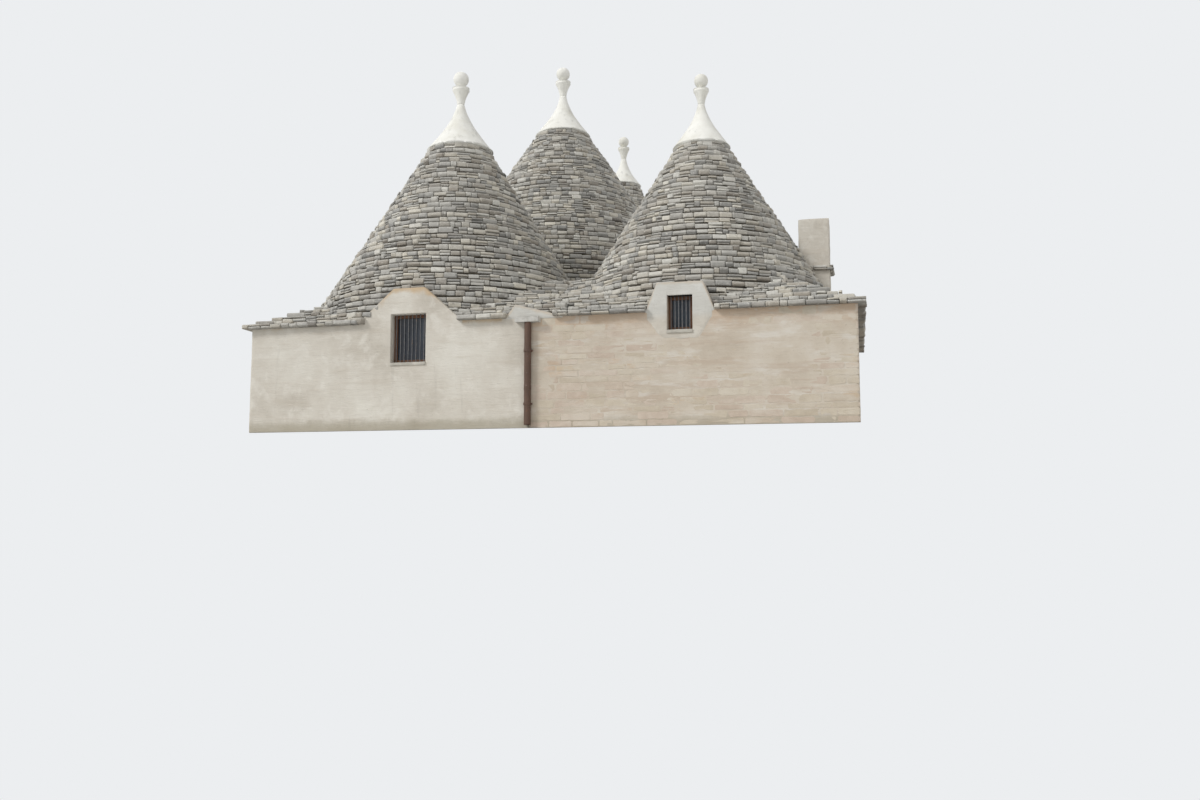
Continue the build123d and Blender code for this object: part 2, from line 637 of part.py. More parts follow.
def make_door():
    """Threshold, frame and plank leaf of the entrance, with the leaf turned back inside the wall."""
    front, back = DOOR_Y - DOOR_WIDTH / 2, DOOR_Y + DOOR_WIDTH / 2
    face = HOUSE_LEFT + DOOR_RECESS
    inner = face + DOOR_FRAME_DEPTH
    frame = box(face, inner, front, back, THRESHOLD_RISE, DOOR_HEIGHT)
    frame -= box(face, inner, front + DOOR_FRAME_WIDTH, back - DOOR_FRAME_WIDTH,
                 THRESHOLD_RISE, DOOR_HEIGHT - DOOR_FRAME_WIDTH)
    leaf_width = DOOR_WIDTH - 2 * DOOR_FRAME_WIDTH - 2 * DOOR_CLEARANCE
    leaf_back = back - (DOOR_FRAME_WIDTH - DOOR_LEAF_THICKNESS) / 2
    leaf = box(inner, inner + leaf_width, leaf_back - DOOR_LEAF_THICKNESS, leaf_back,
               THRESHOLD_RISE + DOOR_CLEARANCE, DOOR_HEIGHT - DOOR_FRAME_WIDTH - DOOR_CLEARANCE)
    threshold = box(HOUSE_LEFT - THRESHOLD_PROJECTION, HOUSE_LEFT + LEFT_WALL, front, back, 0, THRESHOLD_RISE)
    return {"door_frame": frame, "door_leaf": leaf, "door_threshold": threshold}


def write_parts(parts):
    """Write each piece, moved so that the middle of the footprint is the origin."""
    os.makedirs("parts", exist_ok=True)
    for name, form in parts.items():
        solids = form if isinstance(form, list) else [form]
        solids = [solid for item in solids for solid in item.solids()]
        placed = [Pos(0, -HOUSE_DEPTH / 2, 0) * solid for solid in solids]
        export_step(placed[0] if len(placed) == 1 else Compound(children=placed), f"parts/{name}.step")


def main():
    lintels = make_lintels()
    parts = make_walls()
    parts.update(make_arches())
    parts["floor_paving"] = make_floor()
    parts.update(lintels)
    parts.update(make_gables())
    parts.update(make_roof(lintels))
    parts["chimney"] = make_chimney()
    parts.update(make_rainwater())
    parts.update(make_windows())
    parts.update(make_door())
    write_parts(parts)


main()
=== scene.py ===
import json
import math
import random

import bmesh
import bpy
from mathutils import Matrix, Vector, noise


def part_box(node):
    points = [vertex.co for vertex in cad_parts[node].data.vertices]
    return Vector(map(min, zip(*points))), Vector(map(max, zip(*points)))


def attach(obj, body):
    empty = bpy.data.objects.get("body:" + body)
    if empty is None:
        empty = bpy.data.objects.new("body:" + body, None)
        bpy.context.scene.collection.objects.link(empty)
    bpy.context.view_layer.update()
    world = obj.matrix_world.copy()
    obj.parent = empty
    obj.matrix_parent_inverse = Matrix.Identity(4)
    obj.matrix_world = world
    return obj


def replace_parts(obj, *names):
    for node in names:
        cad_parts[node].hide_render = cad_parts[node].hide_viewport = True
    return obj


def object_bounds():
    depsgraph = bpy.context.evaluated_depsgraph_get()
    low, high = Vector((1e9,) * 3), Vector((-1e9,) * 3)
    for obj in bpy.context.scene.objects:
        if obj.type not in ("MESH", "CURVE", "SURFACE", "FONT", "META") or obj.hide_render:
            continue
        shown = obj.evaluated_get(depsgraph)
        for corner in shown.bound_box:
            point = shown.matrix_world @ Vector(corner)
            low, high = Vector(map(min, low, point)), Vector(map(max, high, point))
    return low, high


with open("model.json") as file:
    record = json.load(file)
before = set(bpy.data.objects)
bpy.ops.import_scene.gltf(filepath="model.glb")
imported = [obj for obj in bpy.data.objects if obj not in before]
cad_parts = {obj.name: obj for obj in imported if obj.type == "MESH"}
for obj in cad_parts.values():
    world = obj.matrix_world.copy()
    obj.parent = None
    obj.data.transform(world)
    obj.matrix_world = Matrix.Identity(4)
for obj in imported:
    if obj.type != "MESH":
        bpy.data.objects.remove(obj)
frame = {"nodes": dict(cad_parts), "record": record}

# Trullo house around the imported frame: stone courses, lime plaster, windows, entrance, pipe, floor and light.
# Lengths are metres in the frame's own axes: the front wall faces -Y and the floor is at 0.

cad_low, cad_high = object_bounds()
nodes = frame["nodes"]

# Plan of the walls, read from the frame
LEFT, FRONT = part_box("front_wall_left")[0].xy
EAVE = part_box("front_wall_left")[1].z
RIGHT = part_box("front_wall_right")[1].x
PIPE_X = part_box("front_wall_right")[0].x
FRONT_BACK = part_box("front_cross_wall")[1].y
MIDDLE_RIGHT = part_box("middle_wall_right")[1].x
MIDDLE_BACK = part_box("middle_wall_left")[1].y
REAR_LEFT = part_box("rear_wall")[0].x
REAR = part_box("rear_wall")[1].y
OVERHANG = LEFT - cad_low.x

# Forms of the roof that the frame's boxes do not give
CAP_LIP = 0.012
CAP_BELL = 0.30
EAVE_COURSE = 0.08
FILL_SLOPE = 0.51
FILL_PITCH = 1.0 / 12
FILL_LAP = 1.9
LEDGE_RISE, LEDGE_HEIGHT, LEDGE_REACH = 0.99, 0.085, 0.055

# Stone courses
SLAB_DEPTH = 0.32
SLAB_SHORT, SLAB_LONG = 0.08, 0.25
PAIR_SHARE = 0.26
JOINT = 0.009
LEVEL_SCATTER = 0.011
EDGE_INSET = 0.012
STEP = 0.025
VALLEY_LAP = 0.12
VALLEY_NOTCH = 0.26
NOTCH_RISE = 0.1
FLAT_ROW = 0.2
DOME_COVER = 0.35
CORE_SHRINK = 0.11
CORE_DROP = 0.20
CORE_BEHIND_WALL = 0.03
CORE_DETAIL = 0.12

# Plaster and blocks of the walls
PLASTER = 0.020
PATCH_EDGE = 0.05
ARRIS = 0.028
CELL = 0.055
REVEAL_DEPTH = 0.115
REVEAL_PLASTER = 0.006
COPING_LIFT, COPING_SHORT = 0.008, 0.01
SILL_THICKNESS = 0.05
BLOCK_JOINT = 0.007
BLOCK_RETURN = 0.012

# Window bars, door boards with their straps, and rainwater pipe
BAR_HALF = 0.0055
BAR_OUT = 0.055
BOARD, BOARD_COUNT, BOARD_GAP = 0.006, 5, 0.0015
STRAP, STRAP_HALF, STRAP_HEIGHTS = 0.004, 0.022, (0.14, 0.5, 0.86)
PIPE_WALL = 0.008
PIPE_SOCKETS = (0.55, 1.12)
PIPE_SIDES = 36

# Camera of the photograph
EYE = Vector((4.65, -20.8, -1.05))
TURN_LEFT = math.radians(14.0)
TILT_UP = math.radians(5.5)
FOCAL_PIXELS = 1030
IMAGE_WIDTH = 1200
SENSOR = 36.0

# Light and floor
WORLD_LIGHT = 0.52
SUNS = (("key sun", 1.7, 14.0, -52.0, 38.0), ("fill sun", 0.35, 60.0, 30.0, 30.0))
FLOOR_REACH = 120.0
FLOOR_LEVEL = -0.003


def srgb(red, green, blue):
    """Linear colour from the 0 to 255 values of a colour picker."""
    return tuple(((v / 255 + 0.055) / 1.055) ** 2.4 if v > 10 else v / 3294.6 for v in (red, green, blue))


BACKGROUND = srgb(236, 238, 240)
FLOOR_COLOUR = srgb(228, 228, 226)


def clamp(value, low, high):
    return min(max(value, low), high)


def fade(distance, width):
    """1 at a line, falling smoothly to 0 at a width from it."""
    share = clamp(1 - distance / width, 0.0, 1.0)
    return share * share * (3 - 2 * share)


def ragged_share(u, z, seed):
    """Uneven share between 0 and 1 over a wall."""
    return 0.5 + 0.5 * noise.noise(Vector((u, z, seed)))


def arc_through(first, middle, last):
    """Radius as a function of height, on the arc through three points of radius and height."""
    (x1, y1), (x2, y2), (x3, y3) = first, middle, last
    turn = 2 * (x1 * (y2 - y3) + x2 * (y3 - y1) + x3 * (y1 - y2))
    s1, s2, s3 = x1 * x1 + y1 * y1, x2 * x2 + y2 * y2, x3 * x3 + y3 * y3
    cx = (s1 * (y2 - y3) + s2 * (y3 - y1) + s3 * (y1 - y2)) / turn
    cy = (s1 * (x3 - x2) + s2 * (x1 - x3) + s3 * (x2 - x1)) / turn
    reach = math.hypot(x1 - cx, y1 - cy)
    side = 1 if x2 > cx else -1
    return lambda height: cx + side * math.sqrt(max(0.0, reach * reach - (height - cy) ** 2))


class Cone:
    """Outer form of one cone, from the frame's cap and the cone's own foot and belly."""

    def __init__(self, name, foot, belly, belly_rise, courses, plaster_drop):
        low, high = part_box(name + "_cap")
        self.name, self.courses = name, courses
        self.axis = Vector(((low.x + high.x) / 2, (low.y + high.y) / 2))
        self.top = low.z
        self.plaster_foot = low.z - plaster_drop
        self.cap_radius = (high.x - low.x) / 2
        self.radius = arc_through(
            (foot, EAVE), (belly, EAVE + belly_rise), (self.cap_radius - CAP_LIP, self.top))

    def covers(self, point, z, margin):
        return z < self.top and (point - self.axis).length < self.radius(z) - margin


class Skirt:
    """Low hipped stonework over one block, out to its eaves."""

    def __init__(self, name, courses, left, right, front, back, valley=None):
        self.name, self.courses, self.valley = name, courses, valley
        self.left, self.right = left - OVERHANG, right + OVERHANG
        self.front, self.back = front - OVERHANG, back + OVERHANG
        self.top = EAVE + EAVE_COURSE + courses * FILL_PITCH

    def inset(self, z):
        return max(0.0, z - EAVE - EAVE_COURSE) / FILL_SLOPE

    def covers(self, point, z, across, along):
        """True for a point this far inside its courses, across the house and along it."""
        inset = self.inset(z)
        return (z < self.top and self.left + inset + across < point.x < self.right - inset - across
                and self.front + inset + along < point.y < self.back - inset - along)


class Gable:
    """Cut that a gable panel makes in the roof: a trapezium on one wall."""

    def __init__(self, node, top_half, axis, outward):
        low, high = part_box(node)
        across = 1 - axis
        self.axis, self.outward, self.top_half = axis, outward, top_half
        self.centre = (low[axis] + high[axis]) / 2
        self.foot_half = (high[axis] - low[axis]) / 2
        self.height = high.z - low.z
        self.face = low[across] if outward < 0 else high[across]
        self.thickness = high[across] - low[across]

    def half(self, z):
        share = clamp((z - EAVE) / self.height, 0.0, 1.0)
        return self.foot_half + (self.top_half - self.foot_half) * share

    def covers(self, point, z):
        depth = (self.face - point[1 - self.axis]) * self.outward
        return (z < EAVE + self.height and depth < self.thickness + 0.01
                and abs(point[self.axis] - self.centre) < self.half(z))


class Wedge:
    """Cut of the plastered wedge at the foot of the front valley."""

    def __init__(self, node, peak):
        low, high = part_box(node)
        self.left, self.right, self.peak = low.x, high.x, peak
        self.height, self.back = high.z - low.z, high.y

    def covers(self, point, z):
        share = min(1.0, (z - EAVE) / self.height)
        left = self.left + (self.peak - self.left) * share
        right = self.right + (self.peak - self.right) * share
        return z < EAVE + self.height and point.y < self.back + 0.01 and left < point.x < right


class Column:
    """Cut of the chimney stack."""

    def __init__(self, node):
        self.low, self.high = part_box(node)

    def covers(self, point, z):
        return self.low.x < point.x < self.high.x and self.low.y < point.y < self.high.y and z < self.high.z


CONES = [
    Cone("front_left", 2.75, 1.51, 2.03, 33, 0.18),
    Cone("front_right", 2.48, 1.57, 1.49, 31, 0.16),
    Cone("middle", 3.35, 1.245, 4.24, 49, 0.17),
    Cone("rear", 2.60, 1.08, 3.70, 50, 0.04),
]
SKIRTS = [
    Skirt("front", 10, LEFT, RIGHT, FRONT, FRONT_BACK, valley=0.10),
    Skirt("middle", 12, LEFT, MIDDLE_RIGHT, FRONT_BACK - FILL_LAP, MIDDLE_BACK),
    Skirt("rear", 12, REAR_LEFT, MIDDLE_RIGHT, MIDDLE_BACK - FILL_LAP, REAR),
]
WINDOW_GABLE = Gable("window_gable", 0.25, 0, -1)
SMALL_GABLE = Gable("small_window_gable", 0.33, 0, -1)
REAR_GABLE = Gable("rear_window_gable", 0.33, 0, 1)
DOOR_GABLE = Gable("door_gable", 0.48, 1, -1)
WEDGE = Wedge("valley_wedge", -0.27)
STACK = Column("chimney")
CUTS = [WINDOW_GABLE, SMALL_GABLE, REAR_GABLE, DOOR_GABLE, WEDGE, STACK]


def linked(name, data):
    """New object of the scene."""
    made = bpy.data.objects.new(name, data)
    bpy.context.scene.collection.objects.link(made)
    return made


def finished(name, mesh, material, slot, smooth=False):
    """Object that rides on the house, with the given material; the slot is not used."""
    mesh.validate()
    mesh.update()
    for face in mesh.polygons:
        face.use_smooth = smooth
    piece = linked(name, mesh)
    if material:
        piece.data.materials.append(material)
    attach(piece, "root")
    return piece


def from_lists(name, points, faces, layer_name=None, values=()):
    """Mesh from its points and faces, with one colour for each point where they are given."""
    mesh = bpy.data.meshes.new(name)
    mesh.from_pydata(points, [], faces)
    if layer_name:
        layer = mesh.color_attributes.new(layer_name, "FLOAT_COLOR", "POINT")
        layer.data.foreach_set("color", [number for value in values for number in value])
    return mesh


def tube_faces(base, rows, count):
    """Faces between closed rings of vertices that follow one another."""
    faces = []
    for row in range(rows - 1):
        for k in range(count):
            a, b = base + row * count + k, base + row * count + (k + 1) % count
            faces.append((a, b, b + count, a + count))
    return faces


def surface_wave(point, z):
    """Slow rise and fall of the courses, the same for neighbouring stones and slight at the eaves."""
    size = 0.004 + 0.014 * clamp((z - EAVE) / 0.4, 0.0, 1.0)
    return size * noise.noise(Vector((point.x * 0.9, point.y * 0.9, z * 0.8)))


class Stones:
    """Stones of one piece, gathered into one mesh, each with its own tone and warmth."""

    def __init__(self, name, seed):
        self.name = name
        self.points, self.faces, self.tones = [], [], []
        self.random = random.Random(seed)

    def add(self, rings, shares=None):
        """Closed stone from matching rings; the shares tell how far up the stone each point of a ring is."""
        base, count = len(self.points), len(rings[0])
        tone = (clamp(self.random.gauss(0.5, 0.24), 0.0, 1.0), self.random.random())
        for ring in rings:
            self.points.extend(ring)
            # The third channel, the height within a stone, places the roof stone's painted shade low and its
            # painted highlight high.
            self.tones.extend((*tone, share, 1.0) for share in shares or [1.0] * count)
        self.faces.extend(tube_faces(base, len(rings), count))
        self.faces.append(tuple(base + k for k in reversed(range(count))))
        last = base + (len(rings) - 1) * count
        self.faces.append(tuple(last + k for k in range(count)))

    def slab(self, start, end, low, high, depth):
        """Roof slab with a rough rounded nose, from one point of the course to the next."""
        rand, run = self.random, end - start
        if run.length < 0.03:
            return
        along = run / run.length
        outward = Vector((along.y, -along.x))
        start = start + along * (JOINT / 2)
        length = max(0.02, run.length - JOINT)
        height = high - low
        tilt = rand.uniform(-0.006, 0.006)
        thrust = rand.uniform(-0.016, 0.007)
        nose = rand.uniform(0.22, 0.55)
        undercut = rand.uniform(0.010, 0.034)
        profile = (
            (-depth, 0.0), (-undercut, rand.uniform(0.0, 0.05)), (0.0, nose), (-0.005, 0.93), (-0.022, 1.0),
            (-depth, 1.0),
        )
        ends = min(0.2, 0.02 / length)
        rings = []
        for station in (0.0, ends, 1 - ends, 1.0):
            drawn_in = 0.010 if station in (0.0, 1.0) else 0.0
            wobble = rand.uniform(-0.006, 0.004)
            ring = []
            for out, up in profile:
                rough = 0.0 if out <= -depth else rand.uniform(-0.003, 0.003) + wobble - drawn_in
                uneven = rand.uniform(-0.003, 0.003) if up else 0.0
                rise = low + height * up + tilt * (station - 0.5) + uneven
                place = start + along * (length * station) + outward * (out + thrust + rough)
                ring.append((place.x, place.y, rise + surface_wave(place, low)))
            rings.append(ring)
        self.add(rings, [up for out, up in profile])

    def build(self, material, slot):
        mesh = from_lists(self.name, self.points, self.faces, "stone", self.tones)
        return finished(self.name, mesh, material, slot)


def hidden(form, point, z, in_edge):
    """True where another form of the roof, or what passes through it, takes the place of this one."""
    if any(cut.covers(point, z) for cut in CUTS):
        return True
    if not in_edge and any(cone is not form and cone.covers(point, z, VALLEY_LAP) for cone in CONES):
        return True
    lap = EDGE_INSET * 2 if in_edge else VALLEY_LAP
    before_form = True
    for other in SKIRTS:
        if other is form:
            before_form = False
        elif before_form and form in SKIRTS:
            if other.covers(point, z, -0.03, lap + SLAB_DEPTH):
                return True
        elif other.covers(point, z, lap, lap):
            return True
    return False


def runs_of(points, shown, closed):
    """Stretches of neighbouring shown points."""
    count = len(points)
    if closed and all(shown):
        return [points + points[:1]]
    first = shown.index(False) if closed and False in shown else 0
    runs, run = [], []
    for k in range(first, first + count):
        if shown[k % count]:
            run.append(points[k % count])
        elif run:
            runs.append(run)
            run = []
    return [run for run in runs + [run] if len(run) > 1]


def lay(stones, run, low, high, depth, longest):
    """Slabs of random lengths end to end along one run of a course."""
    lengths = [0.0]
    for a, b in zip(run, run[1:]):
        lengths.append(lengths[-1] + (b - a).length)
    total = lengths[-1]
    place, index = 0.0, 0

    def at(distance):
        nonlocal index
        while index < len(lengths) - 2 and lengths[index + 1] < distance:
            index += 1
        gap = lengths[index + 1] - lengths[index]
        share = (distance - lengths[index]) / gap if gap else 0.0
        return run[index].lerp(run[index + 1], min(1.0, share))

    start = at(0.0)
    while place < total - 0.02:
        size = stones.random.uniform(SLAB_SHORT, longest)
        if total - place - size < SLAB_SHORT * 0.7:
            size = total - place
        if size > longest * 1.3:
            size /= 2
        place += size
        end = at(min(place, total))
        thick = (high - low) * stones.random.uniform(0.76, 0.98)
        if stones.random.random() < PAIR_SHARE:
            middle = low + thick * stones.random.uniform(0.42, 0.58)
            stones.slab(start, end, low, middle, depth)
            stones.slab(start, end, middle + 0.004, low + thick, depth)
        else:
            stones.slab(start, end, low, low + thick, depth)
        start = end


def course_levels(rand, low, top, courses):
    """Heights of the courses, of slightly uneven thickness, that fill a height exactly."""
    pitch = (top - low) / courses
    levels = [low + pitch * k + rand.uniform(-LEVEL_SCATTER, LEVEL_SCATTER) for k in range(courses + 1)]
    levels[0], levels[-1] = low, top
    return levels


def clamped(point, reach):
    """Point drawn in to a line this far outside the walls."""
    return Vector((clamp(point.x, LEFT - reach, RIGHT + reach), clamp(point.y, FRONT - reach, REAR + reach)))


def cone_courses(cone, seed, material):
    """Rings of slabs from the eaves up to the plastered cap."""
    stones = Stones(cone.name + "_courses", seed)
    levels = course_levels(stones.random, EAVE, cone.plaster_foot, cone.courses)
    for low, high in zip(levels, levels[1:]):
        in_edge = (low + high) / 2 < EAVE + EAVE_COURSE
        radius = cone.radius(high)
        count = max(40, round(2 * math.pi * radius / STEP))
        turn = stones.random.random()
        points, shown = [], []
        for k in range(count):
            angle = 2 * math.pi * (k + turn) / count
            raw = cone.axis + Vector((math.cos(angle), math.sin(angle))) * radius
            point = clamped(raw, OVERHANG - EDGE_INSET)
            points.append(point)
            shown.append(not (in_edge and point != raw) and not hidden(cone, point, high, False))
        longest = min(SLAB_LONG, max(0.16, radius * 0.42))
        for run in runs_of(points, shown, True):
            lay(stones, run, low, high, SLAB_DEPTH, longest)
    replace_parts(stones.build(material, "dry_stone"), cone.name + "_cone")


def side_points(start, end):
    count = max(2, round((end - start).length / STEP))
    return [start.lerp(end, k / count) for k in range(count + 1)]


def corners_of(left, right, front, back):
    return [Vector((left, front)), Vector((right, front)), Vector((right, back)), Vector((left, back))]


def rectangle_sides(skirt, inset, number):
    """Sides of a course, counter-clockwise, that stop short at the corners in turn as bonded ones do."""
    corners = corners_of(skirt.left + inset, skirt.right - inset, skirt.front + inset, skirt.back - inset)
    sides = []
    for k in range(4):
        start, end = corners[k], corners[(k + 1) % 4]
        along = (end - start).normalized()
        short = SLAB_DEPTH * 0.9
        if (number + k) % 2:
            start, end = start + along * short, end - along * short
        if (end - start).dot(along) > 0.1:
            sides.append((start, end))
    return sides


def side_runs(skirt, inset, number, seen_at, in_edge):
    """Stretches of the sides of a course that show at a height."""
    for start, end in rectangle_sides(skirt, inset, number):
        points = side_points(start, end)
        yield from runs_of(points, [not hidden(skirt, point, seen_at, in_edge) for point in points], False)


def notched(skirt, run, rise):
    """Parts of a front course that bend in from both cones to meet in the valley between them."""
    along_front = abs(run[0].y - run[-1].y) < 0.01 and run[0].y < (skirt.front + skirt.back) / 2
    if (skirt.valley is None or rise < NOTCH_RISE or not along_front
            or not run[0].x < skirt.valley < run[-1].x):
        return [run]
    left, right = skirt.valley - run[0].x, run[-1].x - skirt.valley
    depth = min(VALLEY_NOTCH, (left + right) * 0.2, (rise - NOTCH_RISE) * 0.8)
    bent = []
    for point in run:
        reach = left if point.x < skirt.valley else right
        share = max(0.0, 1 - abs(point.x - skirt.valley) / reach)
        bent.append(point + Vector((0.0, depth * share ** 1.6)))
    middle = min(range(len(run)), key=lambda k: abs(run[k].x - skirt.valley))
    behind = [bent[middle] + Vector((side, 0.06)) for side in (-0.2, 0.2)]
    return [part for part in (bent[:middle + 1], bent[middle:], behind) if len(part) > 1]


def skirt_courses(skirt, seed, material):
    """Stepped courses of the low hipped stonework, its eave course first and its flat top last."""
    stones = Stones(skirt.name + "_eave_courses", seed)
    levels = [EAVE] + course_levels(stones.random, EAVE + EAVE_COURSE, skirt.top, skirt.courses)
    for number, (low, high) in enumerate(zip(levels, levels[1:])):
        in_edge = number == 0
        seen_at = low + EAVE_COURSE / 2 if in_edge else high
        for run in side_runs(skirt, skirt.inset(high) + EDGE_INSET, number, seen_at, in_edge):
            for part in notched(skirt, run, low - EAVE - EAVE_COURSE):
                lay(stones, part, low, high, SLAB_DEPTH, SLAB_LONG * (1.25 if in_edge else 1.0))
        if skirt.valley is not None and low < EAVE + WEDGE.height:
            behind = WEDGE.back + 0.02
            points = side_points(Vector((WEDGE.left, behind)), Vector((WEDGE.right, behind)))
            lay(stones, points, low, high, SLAB_DEPTH, SLAB_LONG)
    low, high = levels[-2], levels[-1]
    inset = skirt.inset(high)
    row = 0
    while skirt.left + inset < skirt.right - inset and skirt.front + inset < skirt.back - inset:
        inset += FLAT_ROW
        row += 1
        for run in side_runs(skirt, inset, row, (low + high) / 2, False):
            lay(stones, run, low, high, SLAB_DEPTH, SLAB_LONG)
    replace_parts(stones.build(material, "dry_stone"), skirt.name + "_eave_fill")


def chimney_ledge(material):
    """Course of thin slabs let into the chimney a little above the roof, to shed rain."""
    stones = Stones("chimney_ledge", 61)
    low = EAVE + LEDGE_RISE
    corners = corners_of(STACK.low.x - LEDGE_REACH, STACK.high.x + LEDGE_REACH,
                         STACK.low.y - LEDGE_REACH, STACK.high.y + LEDGE_REACH)
    for start, end in zip(corners, corners[1:] + corners[:1]):
        lay(stones, side_points(start, end), low, low + LEDGE_HEIGHT, 0.10, 0.30)
    stones.build(material, "dry_stone")


def cone_core(cone, material, lining):
    """Masonry behind the courses: the frame's cone, its outer face drawn in and its dome kept and lined."""
    mesh = nodes[cone.name + "_cone"].data.copy()
    for face in mesh.polygons:
        centre = face.center
        off_axis = (centre.xy - cone.axis).length
        inner = off_axis < cone.radius(centre.z) - DOME_COVER and EAVE + 0.01 < centre.z < cone.top - 0.05
        face.material_index = 1 if inner else 0
    for vertex in mesh.vertices:
        co = vertex.co
        arm = co.xy - cone.axis
        if arm.length > cone.radius(co.z) - 0.02 and arm.length > 0.05:
            arm *= (arm.length - CORE_SHRINK) / arm.length
            co.xy = cone.axis + arm
        co.xy = clamped(co, -CORE_BEHIND_WALL)
    core_piece(cone.name + "_core", mesh, material, lining)


def skirt_core(skirt, material):
    """Backing of the hipped stonework, sunk below its courses and kept behind the faces of the walls."""
    mesh = nodes[skirt.name + "_eave_fill"].data.copy()
    reach = OVERHANG + CORE_BEHIND_WALL
    for vertex in mesh.vertices:
        co = vertex.co
        co.x = clamp(co.x, skirt.left + reach, skirt.right - reach)
        co.y = clamp(co.y, skirt.front + reach, skirt.back - reach)
        if co.z > EAVE + 0.03:
            co.z = max(EAVE + 0.03, min(co.z, skirt.top) - CORE_DROP)
    core_piece(skirt.name + "_eave_core", mesh, material)


def core_piece(name, mesh, *materials):
    indices = [face.material_index for face in mesh.polygons]
    mesh.materials.clear()
    for material in materials:
        mesh.materials.append(material)
    mesh.polygons.foreach_set("material_index", indices)
    slim = finished(name, mesh, None, "dry_stone").modifiers.new("fewer faces", "DECIMATE")
    slim.ratio = CORE_DETAIL


class Run:
    """Line along the outer faces of walls, seen from above, with the outside on its right hand."""

    def __init__(self, *corners):
        self.corners = [Vector(corner) for corner in corners]
        self.starts = [0.0]
        for a, b in zip(self.corners, self.corners[1:]):
            self.starts.append(self.starts[-1] + (b - a).length)
        self.length = self.starts[-1]

    def direction(self, side):
        return (self.corners[side + 1] - self.corners[side]).normalized()

    def outward(self, side):
        along = self.direction(side)
        return Vector((along.y, -along.x))

    def flat(self, side, u, out):
        """Point on one straight side or its prolongation."""
        return self.corners[side] + self.direction(side) * (u - self.starts[side]) + self.outward(side) * out

    def convex(self, corner):
        return (0 < corner < len(self.corners) - 1
                and self.direction(corner - 1).cross(self.direction(corner)) > 0)

    def place(self, u, out):
        """Point at a distance along the run and off the wall, rounded about the outer corners."""
        side = 0
        while side < len(self.corners) - 2 and u > self.starts[side + 1]:
            side += 1
        for corner in (side, side + 1):
            if self.convex(corner) and abs(u - self.starts[corner]) < ARRIS:
                before, after = self.outward(corner - 1), self.outward(corner)
                angle = (u - self.starts[corner] + ARRIS) / (2 * ARRIS) * math.pi / 2
                turned = before * math.cos(angle) + after * math.sin(angle)
                return self.corners[corner] - (before + after) * ARRIS + turned * (ARRIS + out)
        return self.flat(side, u, out)

    def find(self, x, y):
        """Distance along the run of the wall point nearest to a place."""
        best = (1e9, 0.0)
        place = Vector((x, y))
        for side, start in enumerate(self.starts[:-1]):
            along = self.direction(side)
            reach = clamp((place - self.corners[side]).dot(along), 0.0, self.starts[side + 1] - start)
            gap = (self.corners[side] + along * reach - place).length
            best = min(best, (gap, start + reach))
        return best[1]


def even_lines(low, high, specials, spacing):
    """Grid lines from low to high that keep the special ones, none closer than a third of a cell."""
    count = max(1, round((high - low) / spacing))
    lines = sorted([low, high] + [s for s in specials if low < s < high])
    for k in range(1, count):
        line = low + (high - low) * k / count
        if min(abs(line - other) for other in lines) > spacing / 3:
            lines.append(line)
    return sorted(lines)


def plaster_depth(u, z, seed):
    """Thickness of the hand-laid plaster at a place on a wall."""
    place = Vector((u, z, seed))
    return (PLASTER + 0.007 * noise.noise(place * 0.8) + 0.004 * noise.noise(place * 2.7)
            + 0.0025 * noise.noise(place * 8.0))


